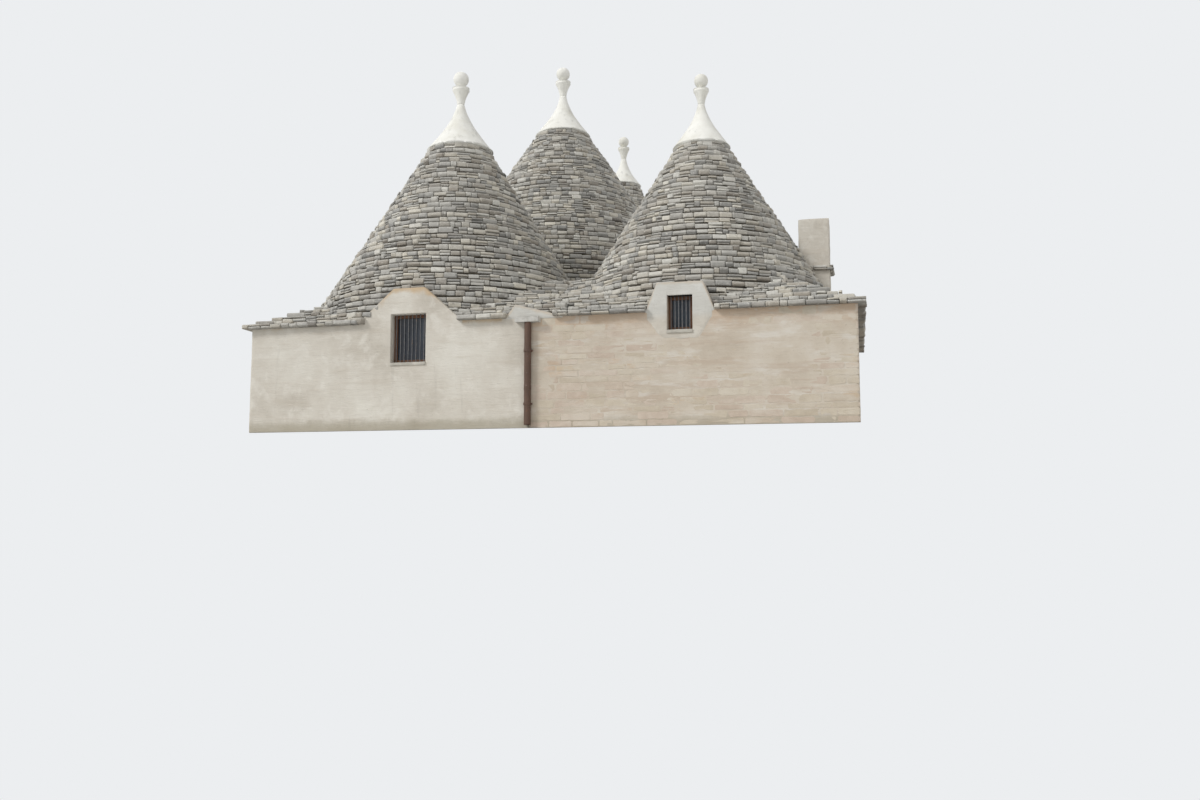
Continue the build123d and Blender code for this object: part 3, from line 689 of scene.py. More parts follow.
class Skin:
    """Hand-laid plaster over a stretch of wall, with holes, rounded arrises, stains and, where given, a painted
    shade tint.
    """

    def __init__(self, name, run, foot, top, seed, stain, feather=None, cell=CELL):
        self.name, self.run, self.foot, self.top, self.seed = name, run, foot, top, seed
        self.stain, self.feather, self.cell = stain, feather, cell
        self.points, self.faces, self.wear_and_shade = [], [], []

    def vertex(self, u, z, out=None, extra=0.0):
        if out is None:
            out = plaster_depth(u, z, self.seed)
            if self.feather:
                out *= self.feather(u, z)
        flat = self.run.place(u, out + extra)
        self.points.append((flat.x, flat.y, z))
        self.wear_and_shade.append((*self.stain(u, z), 1.0))
        return len(self.points) - 1

    def strip(self, rings, closed=False):
        """Faces between matching rings of vertices."""
        count = len(rings[0])
        for first, second in zip(rings, rings[1:]):
            for a in range(count if closed else count - 1):
                b = (a + 1) % count
                self.faces.append((first[a], first[b], second[b], second[a]))

    def field(self, u_low, u_high, z_low, z_high, breaks, holes):
        """Grid of the face, clamped between its foot and its top and open at the holes."""
        corner_lines = [start + k * ARRIS / 2 for start in self.run.starts[1:-1] for k in (-2, -1, 0, 1, 2)]
        hole_lines = [v for hole in holes for v in hole[:2]]
        us = even_lines(u_low, u_high, corner_lines + breaks + hole_lines, self.cell)
        zs = even_lines(z_low, z_high, [EAVE] + [v for hole in holes for v in hole[2:]], self.cell)
        grid = [[min(max(z, self.foot(u)), self.top(u)) for z in zs] for u in us]
        made = {}

        def corner(i, j):
            key = (i, round(grid[i][j], 6))
            if key not in made:
                made[key] = self.vertex(us[i], grid[i][j])
            return made[key]

        for i in range(len(us) - 1):
            for j in range(len(zs) - 1):
                middle_u, middle_z = (us[i] + us[i + 1]) / 2, (zs[j] + zs[j + 1]) / 2
                if any(h[0] < middle_u < h[1] and h[2] < middle_z < h[3] for h in holes):
                    continue
                ring = []
                for key in (corner(i, j), corner(i + 1, j), corner(i + 1, j + 1), corner(i, j + 1)):
                    if key not in ring:
                        ring.append(key)
                if len(ring) > 2:
                    self.faces.append(tuple(ring))
        for hole in holes:
            self.reveal(*hole)

    def rim(self, rings, u, z, du, dz, depth):
        """Points of a rounded edge at one place: on the face, twice over the edge, and back in the wall."""
        profile = ((0.0, None, 0.0), (0.7, None, -0.004), (1.0, None, -0.014), (1.0, -depth, 0.0))
        for ring, (share, out, extra) in zip(rings, profile):
            ring.append(self.vertex(u + du * share, z + dz * share, out, extra))

    def reveal(self, u0, u1, z0, z1):
        """Rounded plaster edge of a hole and its sides back to the frame."""
        corners = [(u0, z0), (u1, z0), (u1, z1), (u0, z1)]
        inward = [(1, 1), (-1, 1), (-1, -1), (1, -1)]
        rings = [[], [], [], []]
        for k in range(4):
            (ua, za), (ub, zb) = corners[k], corners[(k + 1) % 4]
            (da, ea), (db, eb) = inward[k], inward[(k + 1) % 4]
            steps = max(2, round(math.hypot(ub - ua, zb - za) / CELL))
            for step in range(steps):
                t = step / steps
                u, z = ua + (ub - ua) * t, za + (zb - za) * t
                du, dz = (da + (db - da) * t) * REVEAL_PLASTER, (ea + (eb - ea) * t) * REVEAL_PLASTER
                self.rim(rings, u, z, du, dz, REVEAL_DEPTH)
        self.strip(rings, closed=True)

    def coping(self, u_low, u_high, breaks, depth):
        """Top edge of a gable, rounded over and carried back over the panel onto the roof stones."""
        us = even_lines(u_low, u_high, breaks, self.cell)
        rings = [[], [], [], [], []]
        for i, u in enumerate(us):
            before, after = us[max(0, i - 1)], us[min(len(us) - 1, i + 1)]
            slope = Vector((after - before, self.top(after) - self.top(before))).normalized()
            lift = Vector((-slope.y, slope.x)) * COPING_LIFT
            z = self.top(u)
            self.rim(rings, u, z, lift.x, lift.y, depth)
            rings[4].append(self.vertex(u + lift.x, z + lift.y - 0.02, -depth - 0.12))
        self.strip(rings)

    def build(self, material, slot):
        mesh = from_lists(self.name, self.points, self.faces, "wear_and_shade", self.wear_and_shade)
        finished(self.name, mesh, material, slot, smooth=True)


def gable_top(bumps):
    """Height of a wall's top along its run: the eave, lifted by gables given as middle, halves and height."""
    def top(u):
        lift = 0.0
        for middle, top_half, foot_half, height in bumps:
            slope = (foot_half - abs(u - middle)) / (foot_half - top_half)
            lift = max(lift, height * clamp(slope, 0.0, 1.0))
        return EAVE + lift
    return top


def gable_breaks(bumps):
    return [middle + side * half for middle, top_half, foot_half, height in bumps
            for half in (top_half, foot_half) for side in (-1, 1)]


def at_wall(axis, along, across):
    """Place in plan from a coordinate along a wall and one across it."""
    return (along, across) if axis == 0 else (across, along)


def hole_on(run, node, axis, foot=None):
    """Hole of a window or door in a wall along an axis: two distances along the run and two heights."""
    low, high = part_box(node)
    ends = [run.find(*at_wall(axis, value, low[1 - axis])) for value in (low[axis], high[axis])]
    return [min(ends), max(ends), low.z - SILL_THICKNESS if foot is None else foot, high.z]


def limewashed_skin(material):
    """Plaster from the rainwater pipe leftwards round the house to its rear right corner."""
    run = Run((MIDDLE_RIGHT, REAR), (REAR_LEFT, REAR), (REAR_LEFT, MIDDLE_BACK), (LEFT, MIDDLE_BACK),
              (LEFT, FRONT), (PIPE_X, FRONT))
    holes = [hole_on(run, "window_frame", 0), hole_on(run, "rear_window_frame", 0),
             hole_on(run, "door_frame", 1, 0.0)]
    gables = (WINDOW_GABLE, REAR_GABLE, DOOR_GABLE)
    bumps = [(run.find(*at_wall(gable.axis, gable.centre, gable.face)), gable.top_half, gable.foot_half,
              gable.height) for gable in gables]
    top = gable_top(bumps)
    tongue = (run.find(-1.12, FRONT), run.find(-0.45, FRONT))

    def stain(u, z):
        lift = top(u) - EAVE
        ragged = ragged_share(u * 6.0, z * 6.0, 9.0)
        tan = 0.0
        for (middle, top_half, foot_half, height), strength in zip(bumps, (1.0, 0.45, 0.45)):
            aside = abs(u - middle)
            if lift > 0.02 and aside < foot_half:
                plateau = fade(max(0.0, aside - top_half), 0.35)
                tan = max(tan, fade(top(u) - z, 0.06 + 0.14 * ragged) * (0.22 + 0.6 * plateau) * strength)
        if tongue[0] < u < tongue[1]:
            tan = max(tan, fade(EAVE - z, 0.05 + 0.12 * ragged) * 0.65)
        elif lift < 0.02:
            tan = fade(EAVE - z, 0.10) * 0.35 * (0.5 + noise.noise(Vector((u * 1.3, 0, 4))))
        return max(0.0, tan), fade(z, 0.35), 0.0

    skin = Skin("limewashed_plaster", run, lambda u: 0.0, top, 3.0, stain)
    breaks = gable_breaks(bumps)
    skin.field(0.0, run.length, 0.0, EAVE + max(bump[3] for bump in bumps), breaks, holes)
    for (middle, top_half, foot_half, height), gable in zip(bumps, gables):
        skin.coping(middle - foot_half, middle + foot_half, breaks, gable.thickness - COPING_SHORT)
    skin.build(material, "limewashed_wall")


def front_patch(name, top, foot, low, high, breaks, holes, gable_depth, material, seed):
    """Plaster panel on the bare front wall: the small window's gable or the wedge in the valley."""
    def feather(u, z):
        if z >= EAVE:
            return 1.0
        inside = min(u - low, high - u, z - foot(u) + 0.02)
        return clamp(inside / PATCH_EDGE, 0.0, 1.0) ** 0.5

    def stain(u, z):
        ragged = ragged_share(u * 7.0, z * 7.0, seed)
        at_edge = fade(top(u) - z, 0.04 + 0.08 * ragged) if top(u) > EAVE + 0.01 else 0.0
        # The third channel is a painted bluish shade tint: full above the eave, fading out just below it.
        return at_edge * 0.6, 0.0, fade(EAVE - z, 0.15)

    skin = Skin(name, Run((LEFT, FRONT), (RIGHT, FRONT)), foot, top, seed, stain, feather, CELL / 2)
    lowest = min(foot(low + (high - low) * k / 40) for k in range(41))
    skin.field(low, high, lowest, max(top(u) for u in breaks), breaks, holes)
    skin.coping(low, high, breaks, gable_depth)
    skin.build(material, "limewashed_wall")


def small_gable_patch(material):
    """Plaster of the small window's gable, smeared down round the window over the bare stones."""
    gable = SMALL_GABLE
    middle = gable.centre - LEFT
    low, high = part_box("small_window_frame")
    hole = [low.x - LEFT, high.x - LEFT, low.z - SILL_THICKNESS, high.z]
    half = (high.x - low.x) / 2
    bumps = [(middle, gable.top_half, gable.foot_half, gable.height)]

    def foot(u):
        share = 1 - fade(max(0.0, abs(u - middle) - half - 0.02), 0.34)
        ragged = sum(size * noise.noise(Vector((u * pace, 7.0, 0.0)))
                     for size, pace in ((0.10, 2.6), (0.06, 7.0), (0.02, 24.0)))
        below = low.z - SILL_THICKNESS - 0.075
        return min(EAVE - 0.02, below + (EAVE - 0.09 - below) * share + ragged * (0.35 + 0.65 * share))

    front_patch("small_gable_plaster", gable_top(bumps), foot, middle - gable.foot_half,
                middle + gable.foot_half, gable_breaks(bumps) + [middle], [hole],
                gable.thickness - COPING_SHORT, material, 11.0)


def wedge_patch(material):
    """White plaster of the wedge where the front valley ends, with a painted bluish shade tint above the eave.
    """
    left, right, peak = WEDGE.left - LEFT, WEDGE.right - LEFT, WEDGE.peak - LEFT

    def top(u):
        share = (u - left) / (peak - left) if u < peak else (right - u) / (right - peak)
        return EAVE + WEDGE.height * clamp(share, 0.0, 1.0)

    front_patch("valley_plaster", top, lambda u: EAVE - 0.02, left, right, [left, peak, right], [],
                WEDGE.back - FRONT - COPING_SHORT, material, 17.0)


class Blocks(Stones):
    """Coursed wall blocks with worn rounded edges."""

    def block(self, run, side, u0, u1, z0, z1, proud):
        rand = self.random
        gap = BLOCK_JOINT / 2
        u0, u1, z0, z1 = u0 + gap, u1 - gap, z0 + gap, z1 - gap
        skew = [rand.uniform(-0.005, 0.005) for _ in range(4)]
        corners = [(u0, z0 + skew[0]), (u1, z0 + skew[1]), (u1, z1 + skew[2]), (u0, z1 + skew[3])]
        outline = []
        chip = min(0.028, (u1 - u0) / 5, (z1 - z0) / 5)
        for k in range(4):
            a, b, c = (Vector(corners[(k + n - 1) % 4]) for n in range(3))
            outline += [b + (a - b).normalized() * chip * rand.uniform(0.5, 1.3),
                        b + (c - b).normalized() * chip * rand.uniform(0.5, 1.3)]
            parts = max(2, round((c - b).length / 0.12))
            normal = Vector((c.y - b.y, b.x - c.x)).normalized()
            for part in range(1, parts):
                outline.append(b.lerp(c, part / parts) + normal * rand.uniform(-0.004, 0.002))
        middle = Vector(((u0 + u1) / 2, (z0 + z1) / 2))
        rings = []
        for shrink, out in ((0.0, -0.010), (0.001, proud - 0.007), (0.007, proud - 0.001), (0.022, proud)):
            ring = []
            for point in outline:
                inward = middle - point
                moved = point + inward.normalized() * min(shrink, inward.length * 0.6)
                rough = rand.uniform(-0.0016, 0.0016) if out > 0 else 0.0
                flat = run.flat(side, moved.x, out + rough)
                ring.append((flat.x, flat.y, max(moved.y, 0.0)))
            rings.append(ring)
        self.add(rings)


def bare_run():
    """Bare walls from the rainwater pipe rightwards round to the rear right corner, and their hole."""
    run = Run((PIPE_X, FRONT), (RIGHT, FRONT), (RIGHT, FRONT_BACK), (MIDDLE_RIGHT, FRONT_BACK),
              (MIDDLE_RIGHT, REAR))
    return run, hole_on(run, "small_window_frame", 0)


def pointing(material):
    """Thin uneven pointing that fills the joints of the bare walls and covers many of their blocks."""
    run, hole = bare_run()

    def feather(u, z):
        broad, fine = Vector((u * 0.7, z * 1.3, 21.0)), Vector((u * 2.3, z * 4.0, 5.0))
        return 0.56 + 0.22 * (noise.noise(broad) + 0.5 * noise.noise(fine))

    def stain(u, z):
        ragged = ragged_share(u * 1.1, z * 3.0, 13.0)
        return fade(EAVE - z, 0.25 + 0.5 * ragged) * 0.8, fade(z, 0.30), 0.0

    skin = Skin("wall_pointing", run, lambda u: 0.0, lambda u: EAVE, 23.0, stain, feather)
    skin.field(0.0, run.length, 0.0, EAVE, [], [hole])
    skin.build(material, "stone_wall")


def block_wall(material):
    """Coursed stones of the bare walls, just proud of their pointing."""
    run, hole = bare_run()
    stones = Blocks("stone_wall_blocks", 71)
    rand = stones.random
    spout_low, spout_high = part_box("valley_spout")
    spout = [0.0, spout_high.x - PIPE_X, spout_low.z, EAVE]
    levels = [0.0]
    while levels[-1] < EAVE - 0.14:
        levels.append(levels[-1] + rand.uniform(0.080, 0.125))
    levels.append(EAVE)
    for number, (z0, z1) in enumerate(zip(levels, levels[1:])):
        for side in range(len(run.corners) - 1):
            u, end = run.starts[side], run.starts[side + 1]
            while u < end - 0.01:
                size = rand.uniform(0.20, 0.52)
                if end - u - size < 0.16:
                    size = end - u
                if size > 0.62:
                    size /= 2
                spans = [(u, u + size)]
                for h in (hole, spout):
                    if z1 > h[2] + 0.03 and z0 < h[3] - 0.03:
                        spans = [part for a, b in spans for part in ((a, min(b, h[0])), (max(a, h[1]), b))
                                 if part[1] - part[0] > 0.05]
                for a, b in spans:
                    proud = rand.uniform(0.0095, 0.0130)
                    if b > end - 0.01 and run.convex(side + 1) and number % 2:
                        b += BLOCK_RETURN
                    if a < run.starts[side] + 0.01 and run.convex(side) and not number % 2:
                        a -= BLOCK_RETURN
                    stones.block(run, side, a, b, z0, z1, proud)
                u += size
    stones.build(material, "stone_wall")


def weathered(node, material, slot, bevel, spacing, roughness, seed):
    """Worn copy of a CAD piece: its edges rounded and its faces uneven; it takes the piece's place."""
    source = nodes[node]
    mesh = source.data.copy()
    mesh.materials.clear()
    mesh.transform(source.matrix_world)
    form = bmesh.new()
    form.from_mesh(mesh)
    bmesh.ops.remove_doubles(form, verts=form.verts, dist=0.0002)
    bmesh.ops.dissolve_limit(form, angle_limit=math.radians(2), verts=form.verts, edges=form.edges)
    sharp = [edge for edge in form.edges
             if len(edge.link_faces) == 2 and edge.calc_face_angle() > math.radians(30)]
    bmesh.ops.bevel(form, geom=sharp, offset=bevel, segments=2, profile=0.6, affect="EDGES",
                    clamp_overlap=True)
    bmesh.ops.triangulate(form, faces=form.faces)
    for _ in range(7):
        long_edges = [edge for edge in form.edges if edge.calc_length() > spacing]
        if not long_edges:
            break
        bmesh.ops.subdivide_edges(form, edges=long_edges, cuts=1)
        bmesh.ops.triangulate(form, faces=form.faces)
    form.normal_update()
    moves = []
    for vertex in form.verts:
        place = vertex.co + Vector((seed, seed, seed))
        amount = noise.noise(place * 3.0) * 0.6 + noise.noise(place * 11.0) * 0.4
        moves.append(vertex.normal * (amount - 0.35) * roughness)
    for vertex, move in zip(form.verts, moves):
        vertex.co += move
        vertex.co.z = max(vertex.co.z, 0.0)
    form.to_mesh(mesh)
    form.free()
    if "custom_normal" in mesh.attributes:
        mesh.attributes.remove(mesh.attributes["custom_normal"])
    piece = finished("worn_" + node, mesh, material, slot, smooth=True)
    mesh.set_sharp_from_angle(angle=math.radians(50))
    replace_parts(piece, node)


class Paint:
    """Short way to write a material: a colour under patches of other tints, and relief."""

    def __init__(self, name, roughness, specular):
        self.material = bpy.data.materials.new(name)
        self.material.use_nodes = True
        self.tree = self.material.node_tree
        self.shader = self.tree.nodes["Principled BSDF"]
        self.shader.inputs["Roughness"].default_value = roughness
        self.shader.inputs["Specular IOR Level"].default_value = specular
        self.place = self.node("ShaderNodeTexCoord").outputs["Object"]
        self.colour = None

    def node(self, kind, **inputs):
        made = self.tree.nodes.new(kind)
        for key, value in inputs.items():
            self.set(made.inputs[key.replace("_", " ")], value)
        return made

    def set(self, socket, value):
        if isinstance(value, bpy.types.NodeSocket):
            self.tree.links.new(value, socket)
        else:
            socket.default_value = value

    def noise(self, scale, detail=4.0, roughness=0.6, stretch=None, distortion=0.0):
        place = self.place
        if stretch:
            place = self.node("ShaderNodeMapping", Vector=place, Scale=stretch).outputs["Vector"]
        return self.node("ShaderNodeTexNoise", Vector=place, Scale=scale, Detail=detail, Roughness=roughness,
                         Distortion=distortion).outputs["Fac"]

    def pits(self, scale, edge):
        cells = self.node("ShaderNodeTexVoronoi", Vector=self.place, Scale=scale)
        return self.span(cells.outputs["Distance"], 0.0, edge)

    def span(self, value, low, high, out_low=0.0, out_high=1.0):
        made = self.node("ShaderNodeMapRange", Value=value, From_Min=low, From_Max=high, To_Min=out_low,
                         To_Max=out_high)
        made.interpolation_type = "SMOOTHSTEP"
        return made.outputs["Result"]

    def math(self, operation, first, second):
        made = self.tree.nodes.new("ShaderNodeMath")
        made.operation = operation
        self.set(made.inputs[0], first)
        self.set(made.inputs[1], second)
        return made.outputs[0]

    def total(self, first, second, second_share, first_share=1.0):
        """Sum of two values, each by its share."""
        if first_share != 1.0:
            first = self.math("MULTIPLY", first, first_share)
        return self.math("ADD", first, self.math("MULTIPLY", second, second_share))

    def ramp(self, value, *stops):
        """Colour by a value, from stops of a position and three colour-picker values."""
        made = self.node("ShaderNodeValToRGB", Fac=value)
        elements = made.color_ramp.elements
        while len(elements) < len(stops):
            elements.new(0.5)
        for element, (at, *picked) in zip(elements, stops):
            element.position = at
            element.color = (*srgb(*picked), 1.0)
        return made.outputs["Color"]

    def mix(self, share, first, second):
        made = self.tree.nodes.new("ShaderNodeMix")
        made.data_type = "RGBA"
        for socket, value in ((0, share), (6, first), (7, second)):
            self.set(made.inputs[socket], value)
        return made.outputs[2]

    def tint(self, picked, share):
        """Lays a tint over the colour, by a share that varies over the surface."""
        self.colour = self.mix(share, self.colour, (*srgb(*picked), 1.0))

    def veil(self, picked, value, low, high, strength):
        """Lays a tint over the colour where a value passes from low to high."""
        self.tint(picked, self.span(value, low, high, 0.0, strength))

    def attribute(self, name):
        made = self.tree.nodes.new("ShaderNodeVertexColor")
        made.layer_name = name
        return self.node("ShaderNodeSeparateColor", Color=made.outputs["Color"]).outputs[:3]

    def finish(self, *relief, roughness=None):
        """Material with relief given as heights, distances and strengths, the deepest first."""
        self.set(self.shader.inputs["Base Color"], self.colour)
        normal = None
        for height, distance, strength in relief:
            made = self.node("ShaderNodeBump", Height=height, Distance=distance, Strength=strength)
            if normal:
                self.set(made.inputs["Normal"], normal)
            normal = made.outputs["Normal"]
        self.set(self.shader.inputs["Normal"], normal)
        if roughness:
            self.set(self.shader.inputs["Roughness"], roughness)
        return self.material


def dry_stone_paint():
    """Weathered grey and beige limestone with lichen and ochre spots, with painted shade along each slab's
    lower edge and a painted highlight along its upper edge.
    """
    paint = Paint("weathered limestone", 0.92, 0.2)
    tone, warmth, share = paint.attribute("stone")
    mottle, rough = paint.noise(8.0, 6.0, 0.7), paint.noise(19.0, 5.0, 0.7)
    value = paint.total(tone, mottle, 0.38, 0.62)
    cool = paint.ramp(value, (0.18, 128, 127, 124), (0.40, 158, 157, 153), (0.58, 184, 182, 176),
                      (0.80, 218, 216, 208))
    warm = paint.ramp(value, (0.18, 132, 125, 116), (0.40, 165, 158, 147), (0.58, 190, 184, 171),
                      (0.80, 220, 214, 200))
    paint.colour = paint.mix(paint.span(warmth, 0.2, 1.0), cool, warm)
    paint.veil((150, 146, 140), paint.noise(0.9), 0.40, 0.66, 0.22)
    # Painted shade along the lower edge of each slab.
    paint.veil((92, 87, 80), paint.total(share, rough, 0.5), 0.62, 0.12, 0.55)
    # Painted highlight along the upper edge of each slab.
    paint.veil((226, 224, 217), paint.total(share, rough, 0.6), 0.86, 1.30, 0.40)
    paint.veil((104, 101, 96), paint.noise(14.0, 6.0, 0.7), 0.57, 0.70, 0.50)
    paint.veil((224, 222, 214), paint.noise(27.0, distortion=0.6), 0.58, 0.68, 0.45)
    paint.veil((186, 160, 120), paint.noise(6.0, 6.0, 0.75), 0.68, 0.76, 0.35)
    return paint.finish((mottle, 0.02, 0.4), (paint.pits(45.0, 0.35), 0.004, 0.5),
                        (paint.noise(60.0, 5.0, 0.7), 0.006, 0.7))


def limewash_paint():
    """Many coats of limewash on rough plaster: brush marks, hidden courses, tan lichen, run-off and damp, and a
    painted bluish shade tint from the third channel.
    """
    paint = Paint("limewash", 0.88, 0.2)
    tan, damp, cool = paint.attribute("wear_and_shade")
    blotch = paint.noise(7.0, 5.0, 0.7)
    bands = paint.noise(2.2, 5.0, 0.6, (0.5, 0.5, 4.0))
    paint.colour = paint.ramp(paint.noise(1.3, 6.0, 0.62), (0.30, 190, 183, 171), (0.48, 205, 199, 188),
                              (0.70, 216, 212, 202))
    paint.veil((222, 218, 209), paint.noise(4.5, 5.0, 0.6, distortion=0.5), 0.50, 0.72, 0.55)
    paint.veil((184, 173, 158), bands, 0.52, 0.72, 0.32)
    paint.veil((196, 168, 130), paint.total(tan, blotch, 0.9), 0.60, 1.25, 0.75)
    # Painted bluish shade tint, where the front plaster patches carry it.
    paint.tint((202, 208, 209), paint.math("MULTIPLY", cool, 0.35))
    paint.veil((150, 142, 122), paint.total(damp, blotch, 0.6), 0.65, 1.25, 0.6)
    paint.veil((160, 155, 145), paint.noise(6.0, 5.0, 0.65, (1.0, 1.0, 0.12)), 0.58, 0.75, 0.28)
    paint.veil((120, 112, 98), paint.noise(38.0), 0.66, 0.72, 0.4)
    return paint.finish((bands, 0.03, 0.35), (paint.noise(16.0, 5.0, 0.62, (0.6, 0.6, 2.2)), 0.012, 0.5),
                        (paint.noise(85.0), 0.003, 0.5))


def wall_block_paint():
    """Bare coursed limestone of the wall, beige to pinkish, rubbed with old lime."""
    paint = Paint("bare wall stone", 0.9, 0.2)
    tone, warmth = paint.attribute("stone")[:2]
    mottle = paint.noise(6.0, 6.0, 0.65)
    value = paint.total(tone, mottle, 0.75, 0.25)
    beige = paint.ramp(value, (0.25, 184, 172, 154), (0.5, 196, 185, 167), (0.75, 207, 198, 182))
    pink = paint.ramp(value, (0.25, 184, 168, 152), (0.5, 196, 181, 166), (0.75, 207, 195, 181))
    paint.colour = paint.mix(paint.span(warmth, 0.3, 0.8), beige, pink)
    paint.veil((208, 200, 187), paint.noise(1.6, 6.0, 0.65, (0.7, 0.7, 1.8)), 0.42, 0.62, 0.6)
    paint.veil((146, 132, 114), paint.noise(13.0, 6.0, 0.7), 0.62, 0.74, 0.3)
    paint.veil((190, 158, 118), paint.noise(2.2, 5.0, 0.7, (0.7, 0.7, 1.6)), 0.58, 0.74, 0.4)
    return paint.finish((mottle, 0.015, 0.4), (paint.pits(38.0, 0.4), 0.004, 0.5),
                        (paint.noise(70.0, 5.0, 0.65), 0.004, 0.6))


def mortar_paint():
    """Thin lime and earth pointing, worn unevenly, warm under the eaves and paler below."""
    paint = Paint("lime pointing", 0.93, 0.12)
    tan, damp = paint.attribute("wear_and_shade")[:2]
    blotch = paint.noise(7.0, 5.0, 0.7)
    bands = paint.noise(2.0, 5.0, 0.6, (0.35, 0.35, 5.0))
    paint.colour = paint.ramp(paint.noise(1.4, 6.0, 0.65), (0.30, 188, 176, 160), (0.50, 200, 190, 175),
                              (0.72, 211, 204, 193))
    paint.veil((183, 164, 146), bands, 0.46, 0.66, 0.45)
    paint.veil((216, 212, 204), paint.noise(2.6, 6.0, 0.68, (0.5, 0.5, 2.4)), 0.50, 0.66, 0.55)
    paint.veil((194, 164, 134), paint.total(tan, blotch, 0.8), 0.55, 1.30, 0.5)
    paint.veil((152, 142, 122), paint.total(damp, blotch, 0.6), 0.65, 1.25, 0.5)
    paint.veil((136, 124, 108), paint.noise(34.0, 5.0, 0.65), 0.64, 0.72, 0.4)
    return paint.finish((bands, 0.02, 0.35), (paint.noise(14.0, 5.0, 0.62, (0.5, 0.5, 2.2)), 0.010, 0.5),
                        (paint.noise(70.0, 5.0, 0.65), 0.003, 0.6))


def wall_core_paint():
    """Rough inner and upper faces of the bare walls."""
    paint = Paint("rough walling", 0.95, 0.1)
    mottle = paint.noise(9.0, 5.0, 0.6)
    paint.colour = paint.ramp(mottle, (0.3, 172, 158, 140), (0.5, 188, 175, 157), (0.72, 202, 191, 175))
    return paint.finish((mottle, 0.02, 0.4), (paint.noise(45.0, 5.0, 0.65), 0.006, 0.7))


def lining_paint():
    """Limewashed corbelling on the inside of the domes."""
    paint = Paint("dome lining", 0.9, 0.15)
    rings = paint.noise(2.0, 5.0, 0.6, (0.5, 0.5, 5.0))
    paint.colour = paint.ramp(rings, (0.3, 178, 170, 156), (0.55, 203, 197, 184), (0.75, 214, 209, 198))
    return paint.finish((paint.noise(40.0), 0.004, 0.6), (rings, 0.05, 0.6))


def dressed_stone_paint(name, light, middle, dark, scale=5.0):
    """Hand-dressed limestone of sills, spout, lintels and thresholds."""
    paint = Paint(name, 0.85, 0.25)
    paint.colour = paint.ramp(paint.noise(scale, 6.0, 0.65), (0.3, *dark), (0.5, *middle), (0.72, *light))
    paint.veil((128, 120, 102), paint.noise(19.0, 6.0, 0.7), 0.60, 0.70, 0.4)
    return paint.finish((paint.pits(27.0, 0.3), 0.003, 0.4),
                        (paint.noise(32.0, 4.0, 0.6, (2.2, 1.0, 0.6)), 0.006, 0.6))


def paving_paint():
    """Worn flagstones of the rooms, laid in courses."""
    paint = Paint("flagstones", 0.7, 0.35)
    bricks = paint.node("ShaderNodeTexBrick", Vector=paint.place, Scale=1.0, Mortar_Size=0.012,
                        Mortar_Smooth=0.3, Brick_Width=0.62, Row_Height=0.42)
    bricks.offset = 0.45
    joints = bricks.outputs["Fac"]
    cloud = paint.noise(3.5, 6.0, 0.65)
    paint.colour = paint.ramp(cloud, (0.3, 168, 160, 144), (0.5, 190, 183, 168), (0.72, 205, 199, 186))
    paint.tint((112, 104, 92), joints)
    height = paint.math("SUBTRACT", paint.math("MULTIPLY", cloud, 0.2), joints)
    return paint.finish((paint.noise(55.0), 0.002, 0.5), (height, 0.008, 0.7))


def wood_paint():
    """Brown-stained wood, weathered, with the grain along its length."""
    paint = Paint("stained wood", 0.6, 0.35)
    grain = paint.noise(9.0, 6.0, 0.65, (9.0, 9.0, 0.8), 0.7)
    paint.colour = paint.ramp(grain, (0.30, 78, 52, 38), (0.50, 112, 80, 60), (0.72, 139, 104, 80))
    paint.veil((158, 135, 112), paint.noise(7.0, 6.0, 0.7), 0.58, 0.74, 0.4)
    return paint.finish((grain, 0.003, 0.7), roughness=paint.span(grain, 0.3, 0.7, 0.5, 0.75))


def glass_paint():
    """Old window glass, slightly uneven, dusty in places; its dark blue-grey colour is painted shade standing
    in for the dark room behind it.
    """
    paint = Paint("window glass", 0.12, 0.5)
    ripple = paint.noise(3.0, 3.0, 0.5, (1.0, 1.0, 0.6))
    dust = paint.span(paint.noise(24.0, 5.0, 0.7), 0.5, 0.8)
    # Dark blue-grey ramp: painted shade of the room behind the glass.
    paint.colour = paint.ramp(ripple, (0.3, 34, 40, 50), (0.5, 46, 54, 64), (0.75, 66, 76, 84))
    paint.tint((120, 122, 118), paint.math("MULTIPLY", dust, 0.3))
    return paint.finish((ripple, 0.004, 0.25), roughness=paint.span(dust, 0.0, 1.0, 0.1, 0.35))


def pipe_paint():
    """Brown paint on metal, chalky, with scuffs and spots of rust."""
    paint = Paint("brown painted metal", 0.55, 0.4)
    cloud = paint.noise(5.0, 5.0, 0.6, (1.0, 1.0, 0.4))
    rust = paint.span(paint.noise(18.0, 6.0, 0.75), 0.60, 0.70)
    paint.colour = paint.ramp(cloud, (0.3, 72, 53, 42), (0.5, 90, 68, 56), (0.75, 108, 84, 70))
    paint.tint((134, 82, 50), paint.math("MULTIPLY", rust, 0.6))
    paint.veil((160, 150, 138), paint.noise(30.0, 5.0, 0.6, (0.5, 0.5, 2.0)), 0.64, 0.70, 0.5)
    return paint.finish((rust, 0.0015, 0.5), (cloud, 0.004, 0.4),
                        roughness=paint.span(cloud, 0.3, 0.8, 0.45, 0.7))


def iron_paint():
    """Forged iron of the window bars and door fittings: weathered grey, pitted, with brown rust."""
    paint = Paint("forged iron", 0.6, 0.4)
    cloud = paint.noise(22.0, 6.0, 0.7)
    paint.colour = paint.ramp(cloud, (0.35, 82, 84, 88), (0.55, 104, 104, 106), (0.75, 128, 104, 84))
    return paint.finish((cloud, 0.002, 0.6))


def core_paint():
    """Earthy rubble behind the courses, seen only in their joints."""
    paint = Paint("rubble core", 0.95, 0.1)
    mottle = paint.noise(14.0, 5.0, 0.6)
    paint.colour = paint.ramp(mottle, (0.3, 52, 49, 44), (0.7, 86, 80, 70))
    return paint.finish((mottle, 0.02, 0.8))


